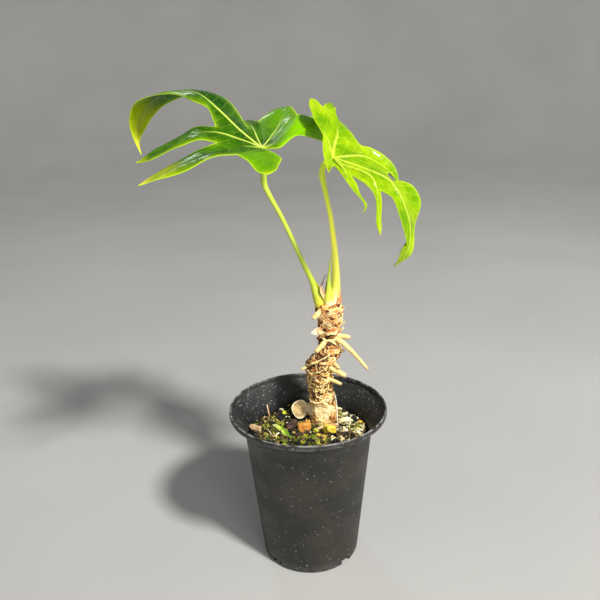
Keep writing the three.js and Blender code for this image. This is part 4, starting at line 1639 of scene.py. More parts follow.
@dataclass
class DrySheath:
    """A papery leaf base that wraps part of the stem, ragged along its top.

    Args:
        node: The plain solid that it stands for, if it has one.
        height: Height of its foot, in millimetres.
        middle: Turn of its middle, in degrees.
        width: Its spread round the stem, in degrees.
        tall: Its height, in millimetres.
        flare: How far its top edge stands off, in millimetres.
        tone: Its colour, from 0 for dark red brown to 1 for pale cream.
        ragged: Depth of its torn edge, in millimetres.
        stand: How far it stands off the stem, in millimetres.
    """

    node: str | None
    height: float
    middle: float
    width: float
    tall: float
    flare: float
    tone: float = 0.4
    ragged: float = 3.0
    stand: float = 0.4

    def build(self, stem: Stem) -> Piece:
        """Builds the sheath round the stem.

        Args:
            stem: The stem that it wraps.

        Returns:
            The sheath.
        """
        columns, rows = max(int(self.width / 3), 10), 18
        seed = self.height + self.middle * 0.01

        def place(column: Array, row: Array) -> Placed:
            share = column / columns - 0.5
            rise = row / rows
            turn = np.radians(self.middle + self.width * share * (1 - 0.12 * rise))
            tear = field_noise(np.column_stack([turn * 0.012, turn * 0, turn * 0]), 300, seed)
            tear = np.abs(tear) * self.ragged
            tall = np.maximum(self.tall * (1 - 1.6 * share * share) - tear, 0.8)
            level = (self.height + tall * rise - 1.0 * (1 - rise)) * MM
            centre, radius = stem.centre(level)
            spots = round_about(turn, 0.01, level)
            crease = ridges(spots, 200, seed)
            curl = 0.4 * smooth_step(np.abs(2 * share), 0.75, 1.0)
            reach = 0.3 + self.stand * smooth_step(rise, 0, 0.5)
            reach = reach + (0.8 * crease - 0.2) * (0.3 + 0.7 * rise)
            reach = radius + (reach + curl + self.flare * rise**2) * MM
            # Paler on the crests of its creases and along its top edge, darker in the creases and at its
            # foot: painted light and shade over its own tone, which also varies at random.
            tone = self.tone + 0.45 * (crease - 0.4) + 0.5 * field_noise(spots, 170, seed + 3)
            tone = tone + 0.45 * smooth_step(rise, 0.75, 0.95) - 0.5 * (1 - smooth_step(rise, 0, 0.22))
            points = centre + round_about(turn, 1, np.zeros(len(turn))) * reach[:, None]
            return points, {"tone": np.clip(tone, 0, 1)}

        name = self.node or f"papery_scale_{round(self.height)}_{round(self.middle + 360)}"
        piece = shaped_grid(name + "_paper", columns, rows, place)
        apply_modifier(piece, "SOLIDIFY", thickness=0.32 * MM, offset=0.0)
        smooth_shade(piece, 70)
        return settle(piece, [self.node] if self.node else [], SHEATH_SKIN.material())


# ------------------------------------------------------------------ stalks, shoots and roots
@dataclass(frozen=True)
class StalkFinish(Finish):
    """Smooth green skin whose colour runs up the stalk with its tone.

    Args:
        stops: Colours at tones from 0 at the foot to 1 at the blade.
        coat: Gloss of the wax on it.
        painted_glow: Painted light: the skin glows faintly in its own colour, which lifts it where it lies
            in shade.
    """

    stops: tuple[tuple[float, Station], ...] = ((0.0, (0.5, 0.7, 0.05)), (1.0, (0.5, 0.7, 0.05)))
    coat: float = 0.15
    painted_glow: float = 0.0

    def paint(self, graph: Graph, shader: Node, place: Socket) -> None:
        """Paints stalk skin; Finish.paint names the arguments."""
        stir = graph.times(graph.math("SUBTRACT", graph.noise(place, 130, 3), 0.5), 0.07)
        colour = graph.ramp(graph.math("ADD", graph.attribute("tone"), stir, clamp=True), *self.stops)
        streak = graph.effect(Effect.FIBRES, Place=place, Scale=1500.0, Length=0.06)
        pale = graph.times(streak.outputs["Value"], 0.22)
        colour = graph.mix(pale, colour, (0.8, 0.9, 0.25, 1))
        specks = graph.effect(Effect.SPECKS, Place=place, Scale=700.0, Size=0.25, Chance=0.06)
        colour = graph.mix(graph.times(specks.outputs["Mask"], 0.35), colour, (0.3, 0.35, 0.03, 1))
        normal = graph.bump(streak.outputs["Value"], 0.00006, 0.6)
        gloss = graph.remap(graph.noise(place, 150), 0.3, 0.7, self.roughness - 0.05,
                            self.roughness + 0.1)
        # Any glow is painted light in the skin's own colour that lifts the stalk where it lies in shade.
        self.feed(graph, shader, Base_Color=colour, Normal=normal, Roughness=gloss,
                  Emission_Color=colour, Emission_Strength=self.painted_glow, Coat_Weight=self.coat,
                  Coat_Roughness=0.25, Subsurface_Weight=0.1, Subsurface_Scale=0.002)


@dataclass(frozen=True)
class CutFinish(Finish):
    """A healed cut face, pale and finely pitted inside a whitish rim, over corky skin."""

    def paint(self, graph: Graph, shader: Node, place: Socket) -> None:
        """Paints the healed cut; Finish.paint names the arguments."""
        face = graph.effect(Effect.MOTTLE, Place=place, Scale=420.0, Fine=0.5,
                            Dark=(0.4, 0.26, 0.1, 1), Light=(0.86, 0.64, 0.3, 1))
        pits = graph.effect(Effect.SPECKS, Place=place, Scale=620.0, Size=0.3, Chance=0.5)
        inner = graph.mix(graph.times(pits.outputs["Mask"], 0.8),
                          face.outputs["Color"], (0.25, 0.13, 0.05, 1))
        skin = graph.effect(Effect.MOTTLE, Place=place, Scale=260.0, Fine=0.6,
                            Dark=(0.7, 0.48, 0.22, 1), Light=(1.0, 0.9, 0.62, 1))
        rim = graph.remap(graph.attribute("cut"), 0.0, 0.5)
        colour = graph.mix(rim, skin.outputs["Color"], (1.0, 0.92, 0.66, 1))
        colour = graph.mix(graph.remap(graph.attribute("cut"), 0.5, 0.75), colour, inner)
        normal = graph.bump(graph.noise(place, 900, 4), 0.0004, 0.6)
        self.feed(graph, shader, Base_Color=colour, Normal=normal)


ROOTS: dict[str, tuple[Station, ...]] = {
    "long_aerial_root": ((19, 9, 178, 2.0), (24, 7.5, 175, 2.0), (31, 5, 169.5, 1.85), (37, 3, 163.4, 1.5),
                         (45.5, 2, 153, 1.15)),
    "aerial_root_upper_right": ((19, 12, 177, 1.9), (26, 12, 176.2, 1.9), (33, 11.5, 174.9, 1.7)),
    "aerial_root_mid_right": ((12, 11, 155, 2.1), (20, 7, 151, 2.1), (29, 5, 146.2, 1.9)),
    "aerial_root_low_right": ((14, 11, 143, 1.6), (20, 8, 141, 1.5), (25.7, 6, 139, 1.2)),
    "aerial_root_small_right": ((15, 10, 160, 1.3), (21, 6, 156, 1.2), (24.5, 4.5, 153, 1)),
    "aerial_root_left": ((16, 10, 176, 1.9), (12, 5, 172, 1.9), (7, 2, 168, 1.7)),
    "aerial_root_crown_left": ((14, 9, 201.5, 1.9), (9, 3.5, 197.5, 1.9), (5.5, 2, 194.5, 1.6)),
    "aerial_root_side_left": ((8, 13, 152, 1.2), (0, 12, 150.8, 1.1), (-4.1, 11, 150, 0.8)),
    "aerial_root_short_right": ((18, 12, 166, 1.4), (24.5, 10, 165.3, 1.3), (28.3, 9, 164.9, 1)),
    "aerial_root_back_high": ((17, 14, 187, 1.8), (15, 22, 184, 1.7), (11, 29, 178, 1.3)),
    "aerial_root_back_mid": ((11, 17, 148, 2), (12, 26, 143, 1.9), (17, 34, 135, 1.4)),
    "aerial_root_back_low": ((12, 18, 122, 2), (7, 27, 117, 1.8), (3, 33, 111, 1.3)),
}
BLUNT_ROOTS = ("aerial_root_mid_right", "aerial_root_left", "aerial_root_upper_right",
               "aerial_root_crown_left")
SHEATHS = tuple(DrySheath(name and f"dry_sheath_{name}", *numbers) for name, *numbers in (
    ("crown_front", 190, -95, 120, 10, 0.6, 0.66),
    ("crown_right", 193, 0, 50, 8, 1.2, 0.45),
    ("crown_back", 188, 95, 130, 12, 0.8, 0.4),
    ("upper_left", 178, 197, 62, 7, 3.5, 0.85, 1.0),
    ("neck_front", 164, -80, 90, 5, 0.8, 0.7),
    ("neck_back", 166, 80, 110, 8, 0.8, 0.5),
    ("middle_left", 144, 205, 60, 7, 0.8, 0.6),
    ("lower_front", 125, -70, 70, 7, 0.4, 0.55),
    ("lower_back", 121, 60, 100, 9, 0.8, 0.55),
    (None, 197, -62, 70, 5.5, 0.5, 0.7, 1.5, 0.9),
    (None, 196, -132, 60, 5.5, 0.2, 0.35, 2, 0.6),
    (None, 189, -55, 52, 6, 0.6, 0.5, 3, 0.8),
    (None, 186, -110, 60, 6, 0.6, 0.75, 3, 0.6),
    (None, 181, -80, 64, 6.5, 0.6, 0.55, 3, 1.1),
    (None, 179.5, -20, 36, 5.5, 3.0, 0.9, 1.0),
    (None, 107, -50, 16, 10, 0.2, 0.75, 1.0, 0.2),
    (None, 157, -70, 40, 6, 0.3, 0.85, 2),
    (None, 196, 60, 90, 6, 0.5, 0.6, 2, 0.8),
    (None, 195, 150, 70, 6, 0.6, 0.4, 2, 0.8),
    (None, 186, 50, 70, 7, 0.8, 0.45, 3, 0.7),
    (None, 183, 140, 70, 7, 0.8, 0.6, 3, 0.7),
    (None, 158, 30, 60, 6, 0.8, 0.8, 2),
    (None, 136, 100, 70, 6, 0.6, 0.7, 2),
))


@dataclass
class Strap:
    """A thin grown strip along a path, cupped across and uneven along its edges.

    Args:
        name: Name of the piece.
        node: The plain solid that it stands for, if it has one.
        slot: Its material slot; not used.
        stations: Path points with a half width: x, y, z, half width, in millimetres.
        across: Direction across the strip.
        finish: Its finish.
        thickness: In millimetres.
        cup: Height of its cupping, as a share of the half width.
        rough: Unevenness, in millimetres.
        seed: Picks the unevenness.
    """

    name: str
    node: str | None
    slot: str
    stations: Sequence[Station]
    across: Station
    finish: Finish
    thickness: float = 0.6
    cup: float = 0.3
    rough: float = 0.3
    seed: float = 1.0

    def build(self) -> Piece:
        """Builds the strip."""
        rows, columns = 16 * (len(self.stations) - 1), 12
        path = catmull_rom(self.stations, np.linspace(0, len(self.stations) - 1, rows + 1)) * MM
        side = unit(np.array(self.across, float))
        along = unit(np.gradient(path[:, :3], axis=0))
        up = unit(np.cross(np.tile(side, (rows + 1, 1)), along))

        def place(column: Array, row: Array) -> Placed:
            share = 2 * column / columns - 1
            ragged = field_noise(path[row, :3] + side * np.sign(share)[:, None], 420, self.seed)
            reach = share * path[row, 3] * (1 + 0.22 * ragged * np.abs(share))
            lift = self.cup * path[row, 3] * (share**2 - 0.5)
            base = path[row, :3] + side * reach[:, None] + up[row] * lift[:, None]
            lumps = field_noise(base, 420, self.seed + 4) * self.rough * MM
            tone = np.clip(row / rows + 0.15 * ragged, 0, 1)
            return base + up[row] * lumps[:, None], {"tone": tone}

        piece = shaped_grid(self.name, columns, rows, place)
        apply_modifier(piece, "SOLIDIFY", thickness=self.thickness * MM, offset=0.0)
        apply_modifier(piece, "BEVEL", width=0.15 * self.thickness * MM, segments=2,
                       limit_method="ANGLE")
        smooth_shade(piece, 60)
        return settle(piece, [self.node] if self.node else [], self.finish.material())


@dataclass
class Stalks:
    """The two leaf stalks and the new shoot.

    Args:
        left: Path of the left stalk with its radius: x, y, z, radius, in millimetres.
        right: The same for the right stalk.
        shoot: The same for the new shoot.
    """

    left: Sequence[Station] = (
        (11.4, 11, 201.5, 4.8), (10.6, 10.9, 205, 5.3), (9.3, 10.6, 209, 4.6), (7.4, 10.3, 214, 3.4),
        (5, 10, 221, 2.4), (-2, 9, 237, 1.9), (-9, 8, 254, 1.8), (-16, 7, 270, 1.8), (-23, 6, 284, 1.9),
        (-26.5, 6, 292, 2.2), (-27, 6, 300, 2.3), (-27, 6, 308, 2.2), (-27.2, 5.4, 316.2, 1.9))
    right: Sequence[Station] = (
        (21, 11, 202.5, 4.6), (22.3, 11, 211, 4.1), (22.6, 11, 223, 3.2), (22.3, 11, 234, 2.7),
        (21.7, 11, 246, 2.3), (20.6, 11, 257, 2), (19.3, 11, 268, 1.8), (16.9, 11, 280, 1.8),
        (14.9, 11, 290, 2.0), (13.7, 11.2, 296, 2.3), (13.9, 11.2, 301, 2.3), (16, 10, 305.6, 2.1),
        (20.2, 7.2, 308.6, 1.7))
    shoot: Sequence[Station] = (
        (17.4, 7.4, 202.4, 3.6), (17.2, 7.2, 206, 4.2), (17, 7.1, 210.5, 3.7), (17, 6.9, 216, 2.5),
        (17.4, 6.8, 222.5, 1.6), (18, 6.8, 231, 0.9), (18.8, 7, 240, 0.35))

    def build(self) -> None:
        """Builds and dresses them all."""
        green, gold = (0.43, 0.53, 0.014), (0.95, 0.9, 0.05)
        left_skin = StalkFinish("left stalk skin", 0.4, (
            (0.0, (0.7, 0.6, 0.06)), (0.06, (0.72, 0.7, 0.02)), (0.16, (0.56, 0.6, 0.015)), (0.3, green),
            (0.85, (0.42, 0.6, 0.03)), (0.93, (0.55, 0.68, 0.08)), (1.0, (0.36, 0.5, 0.03))))
        # The right stalk glows: painted light that lifts it where the right blade shades it.
        right_skin = StalkFinish("right stalk skin", 0.4, (
            (0.0, (0.85, 0.4, 0.18)), (0.035, (0.95, 0.76, 0.48)), (0.07, (0.8, 0.78, 0.26)),
            (0.12, (0.64, 0.62, 0.07)), (0.4, gold), (0.6, (0.68, 0.8, 0.02)), (0.9, (0.6, 0.76, 0.01)),
            (1.0, (0.66, 0.8, 0.05))), painted_glow=0.16)
        shoot_skin = StalkFinish("new shoot skin", 0.4, (
            (0.0, (0.95, 0.6, 0.4)), (0.1, (1.0, 0.94, 0.7)), (0.19, (0.88, 0.84, 0.2)),
            (0.3, (0.66, 0.72, 0.03)), (0.5, (0.5, 0.64, 0.02)),
            (1.0, (0.62, 0.7, 0.12))))
        for name, node, stations, skin in (
                ("left_stalk", "left_petiole", self.left, left_skin),
                ("right_stalk", "right_petiole", self.right, right_skin),
                ("green_shoot", "new_shoot", self.shoot, shoot_skin)):
            bulge = (0.2, 1.2) if node == "new_shoot" else (0.2, 0.3)
            piece = Tube(name, stations, 24, 0.9, bulge, 0.035, 120, 0.16, len(name)).build()
            settle(piece, [node], skin.material())


WINGS = (
    Strap("left_stalk_wing", None, "petiole",
          ((14.6, 7.6, 203, 1.0), (13.8, 7.2, 207, 1.0), (12.3, 7.2, 212, 0.8), (10.4, 7.7, 217, 0.5),
           (8.8, 8.4, 219.5, 0.2)), (1, 0.1, 0.2),
          StalkFinish("left wing skin", 0.45, (
              (0.0, (0.7, 0.66, 0.1)), (0.6, (0.6, 0.66, 0.1)), (0.85, (0.55, 0.4, 0.12)),
              (1.0, (0.3, 0.12, 0.04)))), 0.45, 0.5, 0.15, 5),
    Strap("right_stalk_wing", None, "sheath",
          ((24.4, 7.8, 202, 2.2), (24.9, 7.6, 206, 2.1), (25.0, 7.9, 210.5, 1.5), (24.8, 8.4, 215, 0.8),
           (24.6, 9.0, 219, 0.2)), (0.8, 0.6, 0.1),
          GrownFinish("red sheath edge", 0.5, (
              (0.0, (0.62, 0.3, 0.14)), (0.5, (0.68, 0.26, 0.08)), (1.0, (0.36, 0.1, 0.04))),
              (0.4, 0.12, 0.05), 0.3), 0.4, 0.5, 0.2, 8),
    Strap("dry_leaf_base", "dry_cataphyll", "sheath",
          ((15.8, 5.8, 202, 0.8), (15.2, 5.6, 206, 0.8), (13.8, 5.4, 210, 1.3), (12.4, 5.2, 214, 1.5),
           (12.0, 5.1, 217.5, 0.6), (13.2, 5, 222, 0.22), (15.4, 5, 227, 0.12)), (1, 0.1, 0),
          GrownFinish("dry leaf base skin", 0.55, (
              (0.0, (0.6, 0.26, 0.12)), (0.3, (0.95, 0.66, 0.36)), (0.6, (0.9, 0.6, 0.3)),
              (0.72, (0.2, 0.05, 0.025)), (1.0, (0.12, 0.025, 0.012))),
              (0.2, 0.05, 0.02), 0.45), 0.35, 0.6, 0.25, 2),
    Strap("dark_leaf_edge", None, "sheath",
          ((17.0, 4.4, 202.5, 0.5), (16.2, 4.5, 207, 0.6), (15.6, 4.7, 212, 0.5), (15.4, 5, 217, 0.25),
           (15.9, 5, 221, 0.1)), (1, 0.3, 0),
          GrownFinish("dark leaf edge", 0.55, ((0.0, (0.1, 0.02, 0.01)), (1.0, (0.16, 0.04, 0.02))),
                      (0.3, 0.1, 0.04), 0.3), 0.6, 0.4, 0.2, 4),
    Strap("pale_flap", None, "sheath",
          ((13, 7.5, 182.5, 2.4), (9.5, 6, 182.8, 3.0), (6.4, 5, 183, 2.3), (3.9, 4.6, 182.2, 0.6)),
          (0.25, 0.1, 1), GrownFinish("pale flap skin", 0.6, (
              (0.0, (0.7, 0.38, 0.18)), (0.5, (0.95, 0.72, 0.42)), (1.0, (1.0, 0.92, 0.68))),
              (0.5, 0.22, 0.1), 0.35), 0.4, 0.35, 0.6, 11),
    Strap("pale_ribbon", None, "sheath",
          ((20.6, 9, 131, 0.25), (21.9, 9.5, 124, 0.55), (22.6, 10, 114, 0.6), (23, 9.5, 106, 0.55),
           (23.4, 9, 101, 0.4)), (1, -0.4, 0),
          GrownFinish("pale dry ribbon", 0.6, ((0.0, (1.0, 0.95, 0.75)), (1.0, (1.0, 0.88, 0.6))),
                      (0.5, 0.3, 0.12), 0.3), 0.35, 0.5, 0.4, 7),
)


def build_roots() -> None:
    """Builds the side roots above the soil, and dresses the hidden ones."""
    skin = ROOT_SKIN.material()
    for seed, (name, stations) in enumerate(ROOTS.items()):
        bulge = (0.2, 0.35) if name in BLUNT_ROOTS else (0.2, 0.7)
        piece = Tube(name + "_skin", stations, 24, 0.5, bulge, 0.16, 330, 0.0, seed).build()
        settle(piece, [name], skin)
    knob = Tube("root_knob", ((20, 10, 175.5, 1.6), (26.3, 7.5, 173, 1.9)), 24, 0.4, (0.2, 0.3), 0.12,
                300).build()
    settle(knob, (), skin)
    for side in ("front", "left", "right", "back"):
        dress(bpy.data.objects[f"buried_root_{side}"], skin)


def build_stub() -> None:
    """Builds the cut side stem with its flat healed face, and the pale tissue beside it."""
    stations = ((-6.5, 21, 110.5, 6.7), (-6.3, 23, 109.6, 6.9), (-6, 26, 107.8, 6.8),
                (-5, 30.5, 102.5, 6.6), (-4, 32, 93, 6.2))
    piece = Tube("cut_stub", stations, 48, 0.5, (0.06, 0.3), 0.16, 120, 0.0, 3).build()
    points = coordinates(piece)
    centre = np.array(stations[0][:3]) * MM
    facing = unit(np.array(stations[0][:3]) - np.array(stations[1][:3]))
    offset = points - centre
    depth = -(offset @ facing)
    radius = stations[0][3] * MM
    away = np.linalg.norm(offset - (offset @ facing)[:, None] * facing, axis=1) / radius
    cut = (1 - smooth_step(depth, 0.0006, 0.0016)) * (1 - 0.75 * smooth_step(away, 0.78, 0.98))
    store(piece, "cut", cut)
    middle = np.array((-7.2, 21, 110.8)) * MM
    set_coordinates(piece, middle + (points - middle) * (0.95, 1, 1.1))
    skin = CutFinish("healed cut", 0.8).material()
    settle(piece, ["cut_side_stub"], skin)
    shoulder = ((-3.2, 27.5, 107, 4.4), (1.6, 22, 109.5, 4.3), (5.0, 17.4, 110.6, 4.8),
                (9, 16, 111, 4.9))
    piece = Tube("stub_shoulder", shoulder, 32, 0.45, (0.5, 0.4), 0.3, 240, 0.0, 9).build()
    settle(piece, (), skin)


def build_grown() -> None:
    """Builds everything that grows below the blades."""
    stem = Stem()
    stem.core()
    stem.fibres()
    stem.flakes()
    for sheath in SHEATHS:
        sheath.build(stem)
    build_roots()
    build_stub()
    Stalks().build()
    for wing in WINGS:
        wing.build()


# ------------------------------------------------------------------ soil and what lies on it
SOIL_DARK = GrownFinish(
    "dark bark mix", 0.85,
    ((0.0, (0.003, 0.003, 0.002)), (0.55, (0.014, 0.008, 0.003)), (0.82, (0.09, 0.05, 0.016)),
     (1.0, (0.42, 0.28, 0.1))),
    (0.004, 0.003, 0.003), 0.55, 700.0, 0.0003)
MOSS_GREEN = GrownFinish(
    "moss", 0.75,
    ((0.0, (0.008, 0.014, 0.001)), (0.3, (0.05, 0.08, 0.002)), (0.6, (0.3, 0.36, 0.006)),
     (0.85, (0.68, 0.72, 0.04)), (1.0, (0.85, 0.85, 0.2))),
    (0.02, 0.03, 0.004), 0.4, 900.0, 0.0003)
PERLITE = GrownFinish(
    "perlite", 0.85,
    ((0.0, (0.45, 0.34, 0.15)), (0.35, (0.85, 0.74, 0.36)), (0.7, (0.98, 0.92, 0.6)),
     (1.0, (1.0, 0.98, 0.82))),
    (0.3, 0.22, 0.1), 0.25, 1100.0, 0.0003)
OCHRE = GrownFinish(
    "ochre grit", 0.75,
    ((0.0, (0.2, 0.1, 0.02)), (0.4, (0.5, 0.3, 0.05)), (0.7, (0.76, 0.56, 0.09)),
     (1.0, (0.88, 0.74, 0.25))),
    (0.2, 0.09, 0.02), 0.35, 900.0, 0.0003)

PALE_FIBRE = GrownFinish(
    "loose fibre", 0.8,
    ((0.0, (0.2, 0.1, 0.04)), (0.4, (0.62, 0.46, 0.24)), (1.0, (0.9, 0.84, 0.62))),
    (0.2, 0.1, 0.04), 0.2)


@dataclass(frozen=True)
class Scatter:
    """One kind of crumb on the soil.

    Args:
        name: Name of the piece.
        finish: Its finish.
        slot: Its material slot; not used.
        count: How many.
        size: Smallest and largest length, in millimetres.
        flat: Height as a share of the length.
        rough: Unevenness of the shape.
        chip: True for flat-sided chips.
        heaps: Heaps as x, y, radius in millimetres; with none it lies everywhere.
        tones: Lowest and highest tone.
        seed: Picks the draw.
    """

    name: str
    finish: GrownFinish
    slot: str
    count: int
    size: tuple[float, float]
    flat: float = 0.7
    rough: float = 0.5
    chip: bool = False
    heaps: tuple[Station, ...] = ()
    tones: tuple[float, float] = (0.0, 1.0)
    seed: int = 1


MOSS_HEAPS = ((-25, 2, 15), (-12, -10, 14), (2, -16, 12), (-30, 16, 12), (5, 6, 12), (-8, 36, 16),
              (24, 24, 10), (34, 4, 9))
SCATTERS = (
    Scatter("bark_crumbs", SOIL_DARK, "soil", 900, (1.6, 5.2), 0.55, 0.45, True, seed=11),
    Scatter("moss_tufts", MOSS_GREEN, "moss", 330, (2.0, 6.0), 0.7, 1.1, heaps=MOSS_HEAPS, seed=12),
    Scatter("perlite_crumbs", PERLITE, "stone", 400, (1.4, 4.8), 0.75, 0.5,
            heaps=((29, 0, 9), (33, 8, 8), (36, -6, 7), (30, 25, 9), (25, 32, 8), (24, -12, 8),
                   (38, 16, 8), (34, 20, 8), (31, 14, 8), (40, 2, 7)), tones=(0.15, 1.0), seed=13),
    Scatter("ochre_grit", OCHRE, "stone", 170, (1.5, 3.8), 0.75, 0.4,
            heaps=((8, -8, 12), (26, 26, 12), (-18, 8, 18), (38, 6, 8), (-2, -14, 14)), seed=14),
    Scatter("stray_perlite", PERLITE, "stone", 110, (1.2, 3.2), 0.8, 0.4, tones=(0.1, 0.9), seed=15),
)


@dataclass
class SoilTop:
    """The soil mass with its crumbs, moss and strands.

    Args:
        radii: Radius of the mass at its bottom and its top, in millimetres.
        levels: Heights of its bottom and its top edge.
        clear: Places that stay free of crumbs, as x, y, radius.
        sides: Faces round it.
        leaflets: How many moss leaflets.
        fibres: How many loose fibres.
    """

    radii: tuple[float, float] = (36.0, 46.2)
    levels: tuple[float, float] = (2.1, 100.0)
    clear: tuple[Station, ...] = ((14, 17, 9.6), (-5.6, 25, 7.2))
    sides: int = 150
    leaflets: int = 520
    fibres: int = 120

    def ground(self, points: Array) -> Array:
        """Heights of the soil at places, in metres."""
        flat = points * (1, 1, 0)
        bumps = field_noise(flat, 90, 4) * 0.0014 + field_noise(flat, 260, 6) * 0.0008
        return SOIL_LEVEL + bumps

    def mass(self) -> Piece:
        """Builds the soil mass."""
        (low, high), (bottom, top) = self.radii, self.levels
        wall = [(0.01, bottom), (0.5 * low, bottom), (low, bottom)]
        wall += [(low + (high - low) * share, bottom + (top - bottom) * share)
                 for share in (0.25, 0.5, 0.75, 0.97)]
        skin = [(high * share, None) for share in np.linspace(0.995, 0.0, 44)]
        rows = wall + skin

        def place(column: Array, row: Array) -> Placed:
            turn = column / self.sides * FULL_TURN
            radius = np.array([rows[r][0] for r in row]) * MM
            points = round_about(turn, radius, radius * 0)
            level = self.ground(points)
            fixed = np.array([-1 if rows[r][1] is None else rows[r][1] for r in row]) * MM
            points[:, 2] = np.where(fixed < 0, level, fixed)
            return points, {}

        piece = shaped_grid("soil_body", self.sides, len(rows) - 1, place)
        weld(piece, distance=2e-5)
        store(piece, "tone", 0.25 + 0.25 * field_noise(coordinates(piece), 300, 9))
        smooth_shade(piece, 60)
        return settle(piece, ["soil_mass"], SOIL_DARK.material())

    def spot(self, draw: random.Random, heaps: Sequence[Station], margin: float) -> Array:
        """Draws a place on the soil, clear of the stems.

        Args:
            draw: Where the draws come from.
            heaps: Heaps to choose from; with none, the whole soil.
            margin: How far it stays from the wall, in millimetres.

        Returns:
            One point in metres, as a single row at level 0.
        """
        limit = self.radii[1] - margin
        while True:
            if heaps:
                x, y, reach = draw.choice(heaps)
                point = (draw.gauss(x, reach / 2), draw.gauss(y, reach / 2))
            else:
                turn, far = draw.uniform(0, FULL_TURN), limit * math.sqrt(draw.random())
                point = (far * math.cos(turn), far * math.sin(turn))
            apart = all(math.hypot(point[0] - x, point[1] - y) > reach + margin * 0.6
                        for x, y, reach in self.clear)
            if apart and math.hypot(*point) < limit:
                return np.array([[point[0] * MM, point[1] * MM, 0.0]])

    def crumbs(self, kind: Scatter) -> Piece:
        """Builds one kind of crumb.

        Args:
            kind: What it is and where it lies.

        Returns:
            All crumbs of that kind as one piece.
        """
        draw = random.Random(kind.seed)
        templates = [lump_template(kind.seed * 10 + k, kind.rough, 1 if kind.count > 250 else 2,
                                   kind.chip) for k in range(4)]
        batch = Batch(kind.name)
        for _ in range(kind.count):
            points, faces = draw.choice(templates)
            low, high = kind.size
            length = (low + (high - low) * draw.random()**2) * MM
            width = length * draw.uniform(0.55, 0.95)
            size = (length, width, length * kind.flat * draw.uniform(0.6, 1.1))
            place = self.spot(draw, kind.heaps, 0.5 * length / MM)
            place[0, 2] = self.ground(place)[0] + draw.uniform(0.0, 0.0016) + 0.12 * length
            low_tone, high_tone = kind.tones
            tone = low_tone + (high_tone - low_tone) * draw.random()
            batch.add(turned(points * size, draw) + place, faces, tone)
        piece = batch.build(smooth=not kind.chip)
        return settle(piece, (), kind.finish.material())

    def blades(self) -> Piece:
        """Builds the moss leaflets and short grassy bits."""
        draw = random.Random(23)
        batch = Batch("moss_leaflets")
        for _ in range(self.leaflets):
            foot = self.spot(draw, MOSS_HEAPS, 2.0)[0]
            foot[2] = self.ground(foot[None])[0] + 0.0006
            turn, length = draw.uniform(0, 6.28), draw.uniform(1.5, 4.2) * MM
            share = np.linspace(0, 1, 5)
            out = round_about(turn, share, share * 0) * length
            out[:, 2] = np.sin(share * draw.uniform(0.8, 2.4)) * length * draw.uniform(0.3, 0.9)
            batch.add_strand(foot + out, draw.uniform(0.3, 0.62) * MM, draw.random(), 4, 0.4)
        piece = batch.build()
        return settle(piece, (), MOSS_GREEN.material())

    def strands(self) -> Piece:
        """Builds loose pale fibres and sticks."""
        draw = random.Random(29)
        batch = Batch("loose_fibres")
        heaps = ((28, -2, 14), (14, 6, 12), (-20, 4, 24), (26, 22, 12), (30, 4, 10))
        for _ in range(self.fibres):
            foot = self.spot(draw, heaps, 5.0)[0]
            foot[2] = self.ground(foot[None])[0] + draw.uniform(0.0012, 0.0032)
            turn, length = draw.uniform(0, 6.28), draw.uniform(2.5, 8.0) * MM
            share = np.linspace(-0.5, 0.5, 7)
            bend = draw.gauss(0, 0.25)
            along = np.array([math.cos(turn), math.sin(turn), draw.gauss(0, 0.12)])
            aside = np.array([-math.sin(turn), math.cos(turn), 0])
            path = foot + np.outer(share, along) * length + np.outer(share**2, aside) * bend * length
            batch.add_strand(path, draw.uniform(0.12, 0.32) * MM, draw.random())
        piece = batch.build()
        return settle(piece, (), PALE_FIBRE.material())

    def build(self) -> None:
        """Builds the soil and everything loose on it."""
        self.mass()
        for kind in SCATTERS:
            self.crumbs(kind)
        self.blades()
        self.strands()


class Shape(Enum):
    """What a loose piece on the soil started as."""

    CHIP = "chip"
    STONE = "stone"


